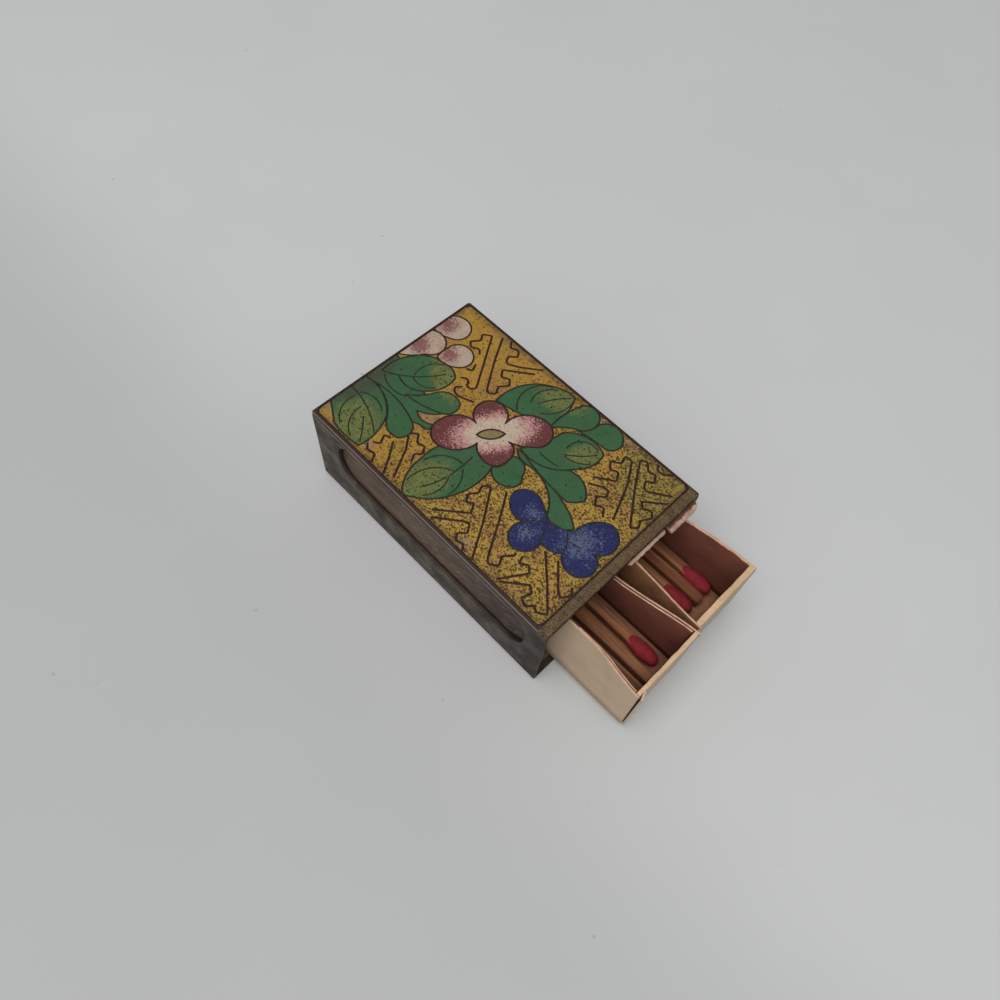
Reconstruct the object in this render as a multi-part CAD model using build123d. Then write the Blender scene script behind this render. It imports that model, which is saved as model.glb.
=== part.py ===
from build123d import *
from math import ceil, degrees
import os

# Matchbox holder: an open-ended metal sleeve with an enamelled top, holding a card matchbox
# whose two trays are drawn out at the front. Millimetres, +X is the way the trays pull out,
# +Z is up, and the origin is the centre of the sleeve's bottom face.

# Sleeve
sleeve_length = 57.0
sleeve_width = 37.8
sleeve_height = 21.0
side_sheet = 0.8
bend_radius = 1.0
plate_thickness = 1.0
plate_corner_radius = 0.5
plate_edge_bevel = 0.25

# Striker windows in the two side walls
window_back_margin = 6.5
window_front_margin = 4.0
window_sill = 7.9
window_lip = 1.0
window_corner_radius = 4.4

# Enamel pocket in the top plate, and the wires and enamel in it
pocket_depth = 0.45
rim_back = 0.35
rim_front = 1.9
rim_near = 0.55
rim_far = 0.35
pocket_corner_radius = 1.2
wire_width = 0.3
vein_width = 0.24
enamel_gap = 0.025
smallest_cell_side = 0.3
longest_run = 3.6
sharpest_run_turn = 37.0

# Card outer shell of the matchbox
shell_clearance = 0.2
shell_headroom = 0.8
shell_length = 56.0
shell_card = 0.4
fold_radius = 0.7
striker_thickness = 0.15
striker_height = 12.0
striker_end_margin = 0.5

# Torn front edge of the shell's top panel
torn_width = 7.4
torn_reach = 1.4
torn_notch = 0.9
torn_notch_width = 7.0

# Card trays
tray_card = 0.45
tray_length = 54.0
tray_headroom = 1.55
tray_clearance = 0.25
tray_spacing = 0.6
left_tray_slack = 3.45
tray_pulled = 16.2
flap_reach = 0.9
flap_lift = 0.3
near_wall_lean = 1.4
far_wall_lean = 2.6
lean_back = 2.0
liner_gap = 0.16

# Matches
stick_size = 2.0
stick_length = 43.0
head_length = 6.4
head_diameter = 3.1
head_sides = 8
head_overlap = 4.6
head_seat_gap = 0.03
match_gap = 0.1
match_set_back = 2.4
match_front_gap = 1.2
match_deep_set_back = 8.2
match_wall_gap = 3.6
right_match_set_back = 4.4
right_match_count = 3

# Places that follow from the sizes above
half_length = sleeve_length / 2
half_width = sleeve_width / 2
channel_height = sleeve_height - plate_thickness
pocket_floor = sleeve_height - pocket_depth
shell_front = shell_length / 2
shell_half_width = half_width - side_sheet - shell_clearance - striker_thickness
shell_bottom = side_sheet + shell_clearance
shell_top = channel_height - shell_headroom
shell_inside = shell_half_width - shell_card
tray_bottom = shell_bottom + shell_card + tray_clearance
tray_floor = tray_bottom + tray_card
tray_top = shell_top - shell_card - tray_headroom
tray_front = shell_front + tray_pulled
tray_back = tray_front - tray_length
tray_width = (2 * shell_inside - tray_clearance - tray_spacing - left_tray_slack) / 2
right_tray_far = shell_inside - tray_clearance
right_tray_near = right_tray_far - tray_width
left_tray_far = right_tray_near - tray_spacing
left_tray_near = left_tray_far - tray_width
field_length = sleeve_length - rim_back - rim_front
field_width = sleeve_width - rim_near - rim_far
cut_over = 1.0
miter_limit_share = 0.35
roundest_window_share = 0.45


def block(x0, x1, y0, y1, z0, z1):
    """A rectangular block between two corners."""
    return Pos((x0 + x1) / 2, (y0 + y1) / 2, (z0 + z1) / 2) * Box(x1 - x0, y1 - y0, z1 - z0)


def save(shape, node):
    """Write one node's solids."""
    solids = list(shape.solids())
    whole = solids[0] if len(solids) == 1 else Compound(children=solids)
    whole.label = node
    export_step(whole, "parts/" + node + ".step")


# Channel: one sheet folded up at both long sides, each side cut for a striker window
def make_channel():
    outer = block(-half_length, half_length, -half_width, half_width, 0, channel_height)
    outer = fillet(outer.edges().filter_by(Axis.X).group_by(Axis.Z)[0], bend_radius)
    inside = half_width - side_sheet
    hollow = block(
        -half_length - cut_over,
        half_length + cut_over,
        -inside,
        inside,
        side_sheet,
        channel_height + cut_over,
    )
    hollow = fillet(hollow.edges().filter_by(Axis.X).group_by(Axis.Z)[0], bend_radius - side_sheet)
    window_length = sleeve_length - window_back_margin - window_front_margin
    window_height = channel_height - window_lip - window_sill
    window_x = (window_back_margin - window_front_margin) / 2
    window_radius = min(window_corner_radius, window_height * roundest_window_share)
    outline = RectangleRounded(window_length, window_height, window_radius)
    cutter = Rot(90, 0, 0) * extrude(outline, half_width + cut_over, both=True)
    cutter = Pos(window_x, 0, window_sill + window_height / 2) * cutter
    return outer - hollow - cutter


# Top plate: a flat plate with a shallow pocket that holds the wires and the enamel
def pocket_outline(inset=0):
    length = field_length - 2 * inset
    width = field_width - 2 * inset
    outline = RectangleRounded(length, width, pocket_corner_radius - inset)
    return Pos((rim_back - rim_front) / 2, (rim_near - rim_far) / 2) * outline


def make_top_plate():
    outline = RectangleRounded(sleeve_length, sleeve_width, plate_corner_radius)
    plate = Pos(0, 0, channel_height) * extrude(outline, plate_thickness)
    pocket = Pos(0, 0, pocket_floor) * extrude(pocket_outline(), pocket_depth + cut_over)
    plate = plate - pocket
    top_edges = plate.faces().sort_by(Axis.Z)[-1].outer_wire().edges()
    return chamfer(top_edges, plate_edge_bevel)


# Cloisonne panel: the wires, the closed cells of each colour, and the ground round them.
# The outlines are laid out as counts from the plate's centre on a grid that divides the field's
# length and width evenly. In a closed outline every second point is the middle of an arc.
field_length_shares = 54.75
field_width_shares = 36.9
flower_shares = [
    (-7.4, 0.65), (-9.2, 5.7), (-3.9, 4.3), (-2.9, 8.1), (0.2, 9.95), (3.75, 8.3), (2.5, 4.2),
    (0.9, 2.8), (-0.8, 2.1), (1.1, 1.5), (1.8, -0.6), (1.0, -3.1), (-1.4, -3.7), (-3.1, -3.2),
    (-4.3, -2.1), (-5.35, -5.3), (-8.3, -7.3), (-11.4, -6.4), (-12.1, -3.2), (-10.7, -0.5),
]
flower_centre_shares = [(-5.6, -1.0), (-4.8, 1.5), (-2.4, 2.8), (-3.2, 0.3)]
blossom_shares = [
    (6.85, -4.0), (8.4, -2.1), (10.8, -1.85), (12.7, -2.8), (14.2, -3.75), (16.5, -3.5),
    (18.9, -2.1), (19.7, 1.2), (22.2, 3.25), (25.35, 1.3), (24.1, -2.7), (25.9, -5.3),
    (24.7, -7.7), (22.4, -8.2), (20.2, -6.5), (18.4, -7.6), (16.4, -7.6), (16.0, -10.4),
    (13.8, -11.6), (11.45, -9.9), (11.8, -7.1), (8.3, -6.6),
]
bud_shares = [
    [
        (-22.9, 8.2), (-21.0, 10.95), (-18.6, 10.6), (-17.4, 8.6), (-18.2, 6.7), (-20.3, 5.4),
        (-22.7, 5.4), (-23.0, 6.8),
    ],
    [
        (-28.6, 8.2), (-25.4, 9.5), (-23.0, 7.4), (-23.4, 5.4), (-24.6, 4.2), (-26.1, 2.1),
        (-28.0, 0.6), (-28.6, 4.4),
    ],
    [
        (-24.2, 10.1), (-22.5, 13.1), (-25.0, 15.3), (-27.4, 14.6), (-28.6, 12.8), (-28.7, 11.2),
        (-28.6, 9.6), (-26.4, 9.4),
    ],
]
leaf_shares = [
    [
        (-27.0, -4.0), (-27.1, -1.0), (-25.5, 2.6), (-23.4, 4.6), (-20.6, 5.3), (-18.2, 5.35),
        (-16.9, 4.4), (-16.8, 1.3), (-18.3, -1.3), (-21.0, -3.0), (-24.2, -2.5), (-25.5, -3.4),
    ],
    [
        (-20.2, -4.4), (-18.0, -2.2), (-17.0, -0.4), (-15.4, 1.4), (-12.2, 1.3), (-11.6, -0.6),
        (-13.2, -2.6), (-16.4, -3.8),
    ],
    [
        (-26.3, -6.8), (-21.4, -6.2), (-15.0, -7.5), (-13.45, -9.5), (-14.2, -11.4),
        (-15.9, -11.75), (-18.3, -10.5), (-22.0, -7.55),
    ],
    [
        (-28.6, -7.2), (-23.5, -7.1), (-19.0, -9.9), (-17.5, -13.4), (-17.5, -17.3),
        (-20.8, -17.75), (-24.0, -17.4), (-26.2, -16.0), (-28.6, -14.6), (-28.7, -11.2),
    ],
    [
        (-28.6, 0.4), (-22.0, -1.0), (-13.0, -2.8), (-14.4, -4.2), (-16.2, -5.2), (-14.6, -5.9),
        (-12.4, -5.3), (-11.9, -6.0), (-12.3, -6.7), (-13.7, -6.9), (-15.0, -7.4), (-20.0, -7.0),
        (-28.6, -7.4), (-28.7, -3.5),
    ],
    [
        (1.4, 2.7), (7.2, 3.2), (10.6, 6.4), (12.25, 9.2), (12.2, 12.4), (8.0, 12.95), (4.2, 10.4),
        (3.4, 6.6),
    ],
    [
        (8.3, 4.2), (12.7, 5.95), (16.1, 3.3), (15.2, 1.9), (14.1, 0.9), (9.0, 1.2), (3.4, 2.1),
        (6.0, 3.0),
    ],
    [
        (1.2, 2.2), (8.0, 2.0), (13.4, 0.5), (16.3, -0.5), (18.5, -1.9), (16.6, -3.6),
        (13.6, -3.3), (10.5, 0.1), (4.6, 1.2), (2.9, 1.2),
    ],
    [
        (1.4, 0.4), (4.2, 0.8), (5.7, -1.2), (6.4, -2.9), (5.5, -4.2), (3.2, -5.0), (0.9, -3.6),
        (1.9, -1.6),
    ],
    [
        (-4.4, -2.4), (-8.0, -6.6), (-8.45, -11.2), (-7.8, -15.0), (-5.9, -17.8), (-5.0, -17.95),
        (-4.3, -17.6), (-1.2, -14.9), (0.75, -11.3), (1.5, -7.5), (0.9, -3.4), (-1.9, -2.4),
    ],
    [
        (1.9, 9.6), (1.8, 13.5), (2.7, 17.3), (4.9, 18.35), (7.1, 16.8), (7.1, 14.5), (5.2, 12.7),
        (3.4, 11.2),
    ],
    [
        (7.4, 16.3), (10.2, 18.35), (12.5, 17.1), (13.1, 15.2), (11.6, 13.5), (8.6, 13.25),
        (5.6, 12.7), (7.0, 14.4),
    ],
    [
        (-8.5, 6.6), (-7.3, 13.1), (-3.2, 16.7), (-1.2, 17.45), (0.7, 17.45), (1.8, 14.2),
        (1.8, 10.0), (-3.0, 8.0),
    ],
]
vein_shares = [
    [(-24.2, -2.5), (-21.3, 0.1), (-18.7, 3.9)],
    [(-22.3, -0.5), (-22.6, 2.3), (-20.5, 4.95)],
    [(-22.2, -0.9), (-19.5, -1.0), (-17.7, 0.5)],
    [(-26.0, -4.3), (-23.2, -5.4), (-19.8, -4.6)],
    [(-25.9, -10.0), (-23.2, -8.95), (-20.2, -9.9)],
    [(-27.8, -10.3), (-22.4, -11.3), (-17.7, -13.8)],
    [(-25.9, -11.2), (-25.9, -13.6), (-23.2, -16.7)],
    [(-23.4, -11.9), (-22.9, -14.6), (-20.0, -17.1)],
    [(-21.6, -12.9), (-19.7, -14.7), (-17.9, -16.8)],
    [(-3.7, 16.2), (-6.5, 12.2), (-4.5, 7.9)],
    [(-2.6, 16.4), (-4.6, 13.6), (-4.0, 10.8)],
    [(0.2, 16.9), (-1.6, 14.6), (-3.0, 11.6)],
    [(0.9, 16.9), (1.1, 14.2), (-1.4, 10.4)],
    [(11.0, 12.3), (7.7, 11.5), (6.9, 8.6)],
    [(11.4, 11.5), (9.8, 9.4), (7.5, 7.4)],
    [(11.9, 9.4), (10.2, 7.8), (7.7, 7.2)],
    [(8.4, 4.8), (6.2, 4.5), (4.2, 4.6)],
    [(-2.8, -4.6), (-2.65, -7.4), (-2.75, -10.0)],
    [(-7.9, -11.2), (-6.3, -8.1), (-2.9, -6.8)],
    [(-2.9, -8.9), (-6.2, -11.8), (-6.9, -15.9)],
    [(-2.7, -10.2), (-1.85, -13.0), (-3.0, -15.9)],
    [(-2.9, -10.6), (-3.4, -12.9), (-4.5, -15.2)],
    [(-2.2, -7.5), (-0.5, -9.7), (-0.2, -12.8)],
]
blossom_seam_shares = [
    [(11.9, -7.0), (13.9, -4.9), (16.8, -3.7)],
    [(16.3, -7.5), (15.5, -6.1), (15.2, -4.3)],
    [(20.1, -6.4), (19.6, -4.9), (18.4, -3.3)],
    [(19.5, -4.0), (21.6, -3.6), (24.0, -2.8)],
]
fret_shares = [
    [
        (-17.9, 11.5), (-18.7, 12.3), (-19.4, 12.1), (-20.2, 11.5), (-21.3, 12.4), (-20.1, 14.0),
        (-21.0, 15.2), (-19.5, 16.3), (-12.8, 5.8), (-13.4, 4.9), (-14.3, 4.9), (-14.9, 5.9),
        (-15.6, 6.0), (-16.3, 5.4),
    ],
    [(-14.7, 4.2), (-15.6, 3.2), (-14.9, 2.4), (-13.8, 2.2), (-12.2, 2.8), (-10.8, 3.4)],
    [(-16.7, 9.4), (-16.1, 7.9), (-17.2, 7.5)],
    [
        (-17.9, 17.5), (-15.0, 12.5), (-11.3, 7.0), (-10.6, 6.6), (-9.6, 7.6), (-10.4, 9.0),
        (-9.2, 10.6), (-10.2, 11.7), (-11.6, 10.9), (-12.6, 12.2), (-7.9, 15.9),
    ],
    [
        (-16.2, 18.1), (-15.2, 16.8), (-14.2, 17.4), (-13.6, 17.4), (-12.8, 16.3), (-14.1, 15.2),
        (-13.6, 14.2), (-12.9, 13.8), (-11.0, 14.9), (-7.6, 17.6),
    ],
    [
        (-14.6, -7.9), (-13.6, -9.3), (-12.4, -8.3), (-11.2, -9.7), (-9.8, -9.2), (-8.9, -10.5),
        (-9.9, -11.6), (-9.0, -13.0),
    ],
    [(-13.3, -9.8), (-11.5, -12.0), (-8.7, -17.2)],
    [(-14.2, -12.5), (-12.3, -15.0), (-10.4, -18.0)],
    [(-15.0, -12.3), (-16.2, -12.8), (-15.3, -14.4), (-16.4, -15.1)],
    [(-16.9, -15.9), (-15.9, -16.8), (-14.4, -16.4), (-13.4, -18.0)],
    [
        (0.0, -16.5), (4.9, -12.3), (3.9, -10.6), (2.9, -11.4), (1.9, -10.2), (3.0, -8.7),
        (2.4, -7.3), (3.6, -6.4), (7.5, -12.0), (11.1, -18.0),
    ],
    [
        (1.0, -17.6), (5.4, -14.0), (6.2, -13.8), (7.2, -15.2), (6.0, -16.4), (6.8, -17.4),
        (8.2, -17.1), (8.9, -18.0),
    ],
    [
        (6.1, -5.2), (9.0, -9.8), (12.6, -15.9), (13.3, -16.5), (14.8, -15.6), (13.9, -13.9),
        (15.2, -12.5), (15.0, -11.9),
    ],
    [(16.2, -11.5), (16.6, -12.9), (18.0, -11.9), (19.0, -12.9), (16.1, -17.4)],
    [
        (16.8, -17.3), (20.5, -14.2), (21.7, -15.1), (21.0, -16.7), (22.3, -17.4), (23.4, -16.2),
        (24.3, -16.8), (25.8, -15.8), (22.0, -11.9), (18.0, -8.2),
    ],
    [(20.6, -7.9), (24.5, -12.0), (25.3, -12.2), (26.2, -10.8), (25.3, -9.7)],
    [
        (21.7, 4.1), (18.9, 11.0), (16.3, 15.1), (14.9, 15.0), (15.4, 13.4), (13.8, 12.3),
        (14.8, 11.0), (16.2, 11.7), (17.2, 10.1), (14.0, 7.9),
    ],
    [
        (14.2, 6.3), (16.5, 7.6), (17.5, 7.7), (18.1, 6.5), (16.8, 5.5), (17.7, 4.0), (19.2, 4.7),
        (20.2, 3.2),
    ],
    [
        (25.7, 14.9), (22.0, 12.4), (21.3, 12.5), (20.5, 13.8), (21.8, 14.6), (21.0, 16.0),
        (19.6, 15.6), (18.3, 17.0), (17.2, 16.3), (20.0, 11.7), (24.6, 5.1), (25.6, 6.1),
        (24.9, 7.4), (26.0, 9.2), (24.9, 10.2), (23.7, 9.3), (22.7, 10.3), (26.0, 13.2),
    ],
    [(23.0, 18.1), (21.5, 16.9), (20.4, 17.0), (20.0, 18.0)],
]


def at(share):
    """A grid position as a point on the plate."""
    return Vector(
        share[0] * field_length / field_length_shares, share[1] * field_width / field_width_shares
    )


def arc_places(shares):
    """Points along the arc through three grid positions, near enough for short straight runs."""
    arc = ThreePointArc(*[at(share) for share in shares])
    turn = degrees(arc.length / arc.radius)
    runs = max(ceil(arc.length / longest_run), ceil(turn / sharpest_run_turn))
    return [arc.position_at(index / runs) for index in range(runs + 1)]


def closed_places(shares):
    """The corners of an outline bounded by arcs, with every second point the middle of an arc."""
    places = []
    for index in range(0, len(shares), 2):
        places += arc_places([shares[index], shares[index + 1], shares[(index + 2) % len(shares)]])[:-1]
    return places


def moved_aside(places, distance, closed=False):
    """A line's points moved sideways, so that each of its runs moves by the distance."""
    moved = []
    for index, place in enumerate(places):
        before = places[index - 1] if closed or index > 0 else place
        after = places[(index + 1) % len(places)] if closed or index + 1 < len(places) else place
        steps = [step.normalized() for step in (place - before, after - place) if step.length > 0]
        across = sum((Vector(-step.Y, step.X) for step in steps), Vector()).normalized()
        fit = max(across.dot(Vector(-steps[-1].Y, steps[-1].X)), miter_limit_share)
        moved.append(place + across * (distance / fit))
    return moved


def flat_face(places):
    return Sketch() + make_face(Polyline(*places, close=True))


def closed_wire(places, width):
    """The bent wire that runs round a closed outline."""
    edges = [flat_face(moved_aside(places, side * width / 2, closed=True)) for side in (-1, 1)]
    inner, outer = sorted(edges, key=lambda face: face.area)
    return outer - inner


def bent_ribbon(places, width):
    """A strip of wire bent between straight runs."""
    left, right = [moved_aside(places, side * width / 2) for side in (-1, 1)]
    return flat_face(left + right[::-1])


def cell_solids(shapes):
    """Upright solids as deep as the pocket, on every face that is big enough to be a cell."""
    solids = []
    for shape in shapes:
        for face in shape.faces():
            if face.area > smallest_cell_side**2:
                solids += extrude(face, pocket_depth, dir=(0, 0, 1)).solids()
    return Pos(0, 0, pocket_floor) * Compound(children=solids)


def make_panel():
    """Each wire group and each colour's cells, as nodes that fill the pocket."""
    field = pocket_outline(2 * enamel_gap + wire_width)
    stacked = [("flower_centre", flower_centre_shares), ("petal", flower_shares)]
    stacked += [("blossom", blossom_shares)]
    stacked += [("bud", shares) for shares in bud_shares]
    stacked += [("leaf", shares) for shares in leaf_shares]
    cells = {"border_wire": [pocket_outline(enamel_gap) - pocket_outline(enamel_gap + wire_width)]}
    free = field
    for name, shares in stacked:
        places = closed_places(shares)
        outline = flat_face(places)
        wire_room = closed_wire(places, wire_width + 2 * enamel_gap)
        cells.setdefault(name + "_wires", []).append(closed_wire(places, wire_width) & free)
        cells.setdefault("enamel_" + name, []).append((outline - wire_room) & free)
        free = free - outline - wire_room
    for name, line_shares in (("leaf", vein_shares), ("blossom", blossom_seam_shares)):
        lines = [arc_places(shares) for shares in line_shares]
        veins = Sketch() + [bent_ribbon(line, vein_width) for line in lines]
        vein_room = Sketch() + [bent_ribbon(line, vein_width + 2 * enamel_gap) for line in lines]
        whole = cells["enamel_" + name]
        cells[name + "_wires"] += [veins & cell for cell in whole]
        cells["enamel_" + name] = [cell - vein_room for cell in whole]
    fret_lines = [[at(share) for share in shares] for shares in fret_shares]
    frets = Sketch() + [bent_ribbon(line, wire_width) for line in fret_lines]
    fret_room = Sketch() + [bent_ribbon(line, wire_width + 2 * enamel_gap) for line in fret_lines]
    cells["fret_wires"] = [frets & free]
    cells["enamel_ground"] = [free - fret_room]
    return {name: cell_solids(shapes) for name, shapes in cells.items()}


# Matchbox shell: one folded card, with a torn front edge on its top panel
def make_shell():
    outer = block(-shell_front, shell_front, -shell_half_width, shell_half_width, shell_bottom, shell_top)
    outer = fillet(outer.edges().filter_by(Axis.X), fold_radius)
    reach = shell_front + cut_over
    inner = block(
        -reach, reach, -shell_inside, shell_inside, shell_bottom + shell_card, shell_top - shell_card
    )
    inner = fillet(inner.edges().filter_by(Axis.X), fold_radius - shell_card)
    tab_far = shell_half_width - fold_radius
    tab = block(
        shell_front, shell_front + torn_reach, tab_far - torn_width, tab_far, shell_top - shell_card, shell_top
    )
    notch_far = tab_far - torn_width
    notch = block(
        shell_front - torn_notch,
        shell_front + cut_over,
        -shell_inside,
        notch_far - torn_notch_width,
        shell_top - shell_card,
        shell_top + cut_over,
    )
    return outer - inner + tab - notch


def make_striker(side):
    z0 = (shell_bottom + shell_top - striker_height) / 2
    y0, y1 = sorted((side * shell_half_width, side * (shell_half_width + striker_thickness)))
    reach = shell_length / 2 - striker_end_margin
    return block(-reach, reach, y0, y1, z0, z0 + striker_height)


# Trays: each is one card blank folded into an open box
def make_tray(near, far):
    outer = block(tray_back, tray_front, near, far, tray_bottom, tray_top)
    inner = block(
        tray_back + tray_card,
        tray_front - tray_card,
        near + tray_card,
        far - tray_card,
        tray_floor,
        tray_top + cut_over,
    )
    return outer - inner


def leaning_wall(side_y, lean, foot, back, front):
    """A card wall, upright at its ends, whose top edge leans in between them."""
    sections = []
    for x, top_lean in ((back, 0), (lean_back, lean), (shell_front, lean), (front, 0)):
        corners = [
            (x, side_y, foot),
            (x, side_y + tray_card, foot),
            (x, side_y + tray_card + top_lean, tray_top),
            (x, side_y + top_lean, tray_top),
        ]
        sections.append(make_face(Polyline(*corners, close=True)))
    return loft(sections, ruled=True)


# The left tray's two long walls lean in where the sleeve has squeezed them
def make_left_tray():
    near, far = left_tray_near, left_tray_far
    tray = block(tray_back, tray_front, near, far, tray_bottom, tray_floor)
    tray += leaning_wall(near, near_wall_lean, tray_bottom, tray_back, tray_front)
    tray += leaning_wall(far - tray_card, -far_wall_lean, tray_bottom, tray_back, tray_front)
    tray += block(tray_front - tray_card, tray_front, near, far, tray_bottom, tray_top)
    tray += block(tray_back, tray_back + tray_card, near, far, tray_bottom, tray_top)
    return tray


# A second layer of card stands against the inside of the left tray's far wall
def make_liner():
    side_y = left_tray_far - 2 * tray_card - liner_gap
    back = tray_back + tray_card + liner_gap
    front = tray_front - tray_card - liner_gap
    return leaning_wall(side_y, -far_wall_lean, tray_floor, back, front)


# The end flap folded round the left tray's front corner stands a little off it
def make_corner_flap():
    return block(
        tray_front,
        tray_front + flap_reach,
        left_tray_near,
        left_tray_near + tray_card,
        tray_bottom + flap_lift,
        tray_top - flap_lift,
    )


# Matches: a square stick with a dipped round head on one end
head_profile_shares = [(0, 0.96), (0.3, 1.0), (0.66, 0.98), (0.84, 0.83), (0.95, 0.57), (1, 0.3)]


def make_head():
    """A dipped head with its open end at the origin and its tip along +X."""
    sections = []
    for along, radius_share in head_profile_shares:
        ring = RegularPolygon(radius_share * head_diameter / 2, head_sides)
        sections.append(Pos(along * head_length, 0, 0) * Rot(0, 90, 0) * ring)
    return loft(sections, ruled=True)


def make_match(front, centre_y, head_at_front):
    """One match as a stick and a head, whose front end stands at the given place."""
    half = stick_size / 2
    centre_z = tray_floor + head_diameter / 2 + match_gap
    tip = head_length - head_overlap
    if head_at_front:
        stick_front = front - tip
        head_start = stick_front - head_overlap
    else:
        stick_front = front
        head_start = stick_front - stick_length - tip
    stick = block(stick_front - stick_length, stick_front, -half, half, -half, half)
    hole_half = half + head_seat_gap
    hole = block(
        stick_front - stick_length - head_seat_gap,
        stick_front + head_seat_gap,
        -hole_half,
        hole_half,
        -hole_half,
        hole_half,
    )
    head = make_head()
    if not head_at_front:
        head = mirror(head, about=Plane.YZ)
        head_start += head_length
    head = Pos(head_start, 0, 0) * head - hole
    place = Pos(0, centre_y, centre_z)
    return place * stick, place * head


def make_matches(places):
    """Every match of one tray, as the group of sticks and the group of heads."""
    pairs = [make_match(*place) for place in places]
    return Compound(children=[a for a, b in pairs]), Compound(children=[b for a, b in pairs])


# The left tray's matches lie evenly between its walls, as many as fit side by side
def left_match_places():
    """Each match's front end, its place across the tray, and whether its head is in front."""
    first_y = left_tray_far - match_wall_gap
    last_y = left_tray_near + tray_card + head_diameter / 2 + match_gap
    spaces = int((first_y - last_y) / head_diameter)
    places = [(tray_front - match_set_back, first_y, True)]
    for index in range(1, spaces):
        places.append((tray_front - match_front_gap, first_y + (last_y - first_y) * index / spaces, False))
    return places + [(tray_front - match_deep_set_back, last_y, False)]


# The right tray's three matches lie against its far wall
def right_match_places():
    """The same for the right tray, where every second head is in front."""
    first_y = right_tray_far - tray_card - head_diameter / 2 - match_gap
    step = (head_diameter + stick_size) / 2 + match_gap
    front = tray_front - right_match_set_back
    return [(front, first_y - index * step, index % 2 == 0) for index in range(right_match_count)]


def main():
    os.makedirs("parts", exist_ok=True)
    save(make_channel(), "channel")
    save(make_top_plate(), "top_plate")
    for name, shape in make_panel().items():
        save(shape, name)
    save(make_shell(), "matchbox_shell")
    save(make_striker(-1), "near_striker_strip")
    save(make_striker(1), "far_striker_strip")
    save(make_left_tray(), "left_tray")
    save(make_liner(), "left_tray_liner")
    save(make_corner_flap(), "left_tray_corner_flap")
    save(make_tray(right_tray_near, right_tray_far), "right_tray")
    for side, places in (("left", left_match_places()), ("right", right_match_places())):
        sticks, heads = make_matches(places)
        save(sticks, side + "_match_sticks")
        save(heads, side + "_match_heads")


main()
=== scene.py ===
import math

import bmesh
import bpy
import numpy as np
from mathutils import Matrix, Vector, geometry, noise


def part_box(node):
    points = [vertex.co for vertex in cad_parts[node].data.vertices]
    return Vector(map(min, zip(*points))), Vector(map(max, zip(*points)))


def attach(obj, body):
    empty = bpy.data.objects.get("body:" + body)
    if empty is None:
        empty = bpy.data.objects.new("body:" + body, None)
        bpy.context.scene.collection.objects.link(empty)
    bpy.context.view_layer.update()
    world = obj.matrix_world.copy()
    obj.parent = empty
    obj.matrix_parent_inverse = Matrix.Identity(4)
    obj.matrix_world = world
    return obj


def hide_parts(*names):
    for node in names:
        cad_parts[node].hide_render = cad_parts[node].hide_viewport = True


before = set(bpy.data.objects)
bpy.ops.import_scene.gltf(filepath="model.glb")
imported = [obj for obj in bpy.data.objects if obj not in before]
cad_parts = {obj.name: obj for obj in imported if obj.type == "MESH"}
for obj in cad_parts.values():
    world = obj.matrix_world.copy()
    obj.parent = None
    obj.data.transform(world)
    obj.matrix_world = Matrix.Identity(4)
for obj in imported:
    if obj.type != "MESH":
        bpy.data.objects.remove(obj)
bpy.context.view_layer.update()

# Camera, standing over the holder's near front corner and a little turned, as a hand-held
# picture of the holder on a table is taken.
mm = 0.001
view_turn = math.radians(39.29)
view_height = math.radians(61.02)
view_distance = 159.4 * mm
view_roll = math.radians(7.18)
view_target = Vector((-0.99, 1.96, 0)) * mm
lens_mm = 29.41
sensor_mm = 36.0

back = Vector((
    math.sin(view_turn) * math.cos(view_height),
    -math.cos(view_turn) * math.cos(view_height),
    math.sin(view_height),
))
side = (-back).cross(Vector((0, 0, 1))).normalized()
up = side.cross(-back)
camera_x = math.cos(view_roll) * side + math.sin(view_roll) * up
camera_y = -math.sin(view_roll) * side + math.cos(view_roll) * up
turned = Matrix((camera_x, camera_y, back)).transposed().to_4x4()
camera_data = bpy.data.cameras.new("camera")
camera_data.lens = lens_mm
camera_data.sensor_width = sensor_mm
camera_data.clip_start = 1 * mm
camera = bpy.data.objects.new("camera", camera_data)
camera.matrix_world = Matrix.Translation(view_target + back * view_distance) @ turned
bpy.context.scene.collection.objects.link(camera)
bpy.context.scene.camera = camera
bpy.context.scene.view_settings.view_transform = "Standard"

# Light: a wide soft lamp overhead, a weaker one lower in front on the near side, and a plain
# bright room round them, so that the shadows on the table stay faint.
world = bpy.data.worlds.new("room")
bpy.context.scene.world = world
world.use_nodes = True
room = world.node_tree.nodes["Background"]
room.inputs["Color"].default_value = (1.0, 1.0, 1.0, 1)
room.inputs["Strength"].default_value = 0.48


def soft_lamp(name, place, size, power):
    data = bpy.data.lights.new(name, "AREA")
    data.size = size
    data.energy = power
    lamp = bpy.data.objects.new(name, data)
    lamp.location = place
    lamp.rotation_euler = (-Vector(place)).to_track_quat("-Z", "Y").to_euler()
    bpy.context.scene.collection.objects.link(lamp)


soft_lamp("ceiling_lamp", (0.05, -0.3, 1.0), 0.7, 6.4)
soft_lamp("window_lamp", (0.5, -0.9, 0.6), 0.9, 2.0)


# Table: a pale grey painted board that the holder lies on, with faint stains and small crumbs.
# Its colour is darkened towards the near side, as painted shade.
def new_object(name, mesh, body=None):
    """A mesh as an object of the scene, which rides on a body."""
    piece = bpy.data.objects.new(name, mesh)
    bpy.context.scene.collection.objects.link(piece)
    if body:
        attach(piece, body)
    return piece


def is_socket(value):
    return isinstance(value, bpy.types.NodeSocket)


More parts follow.
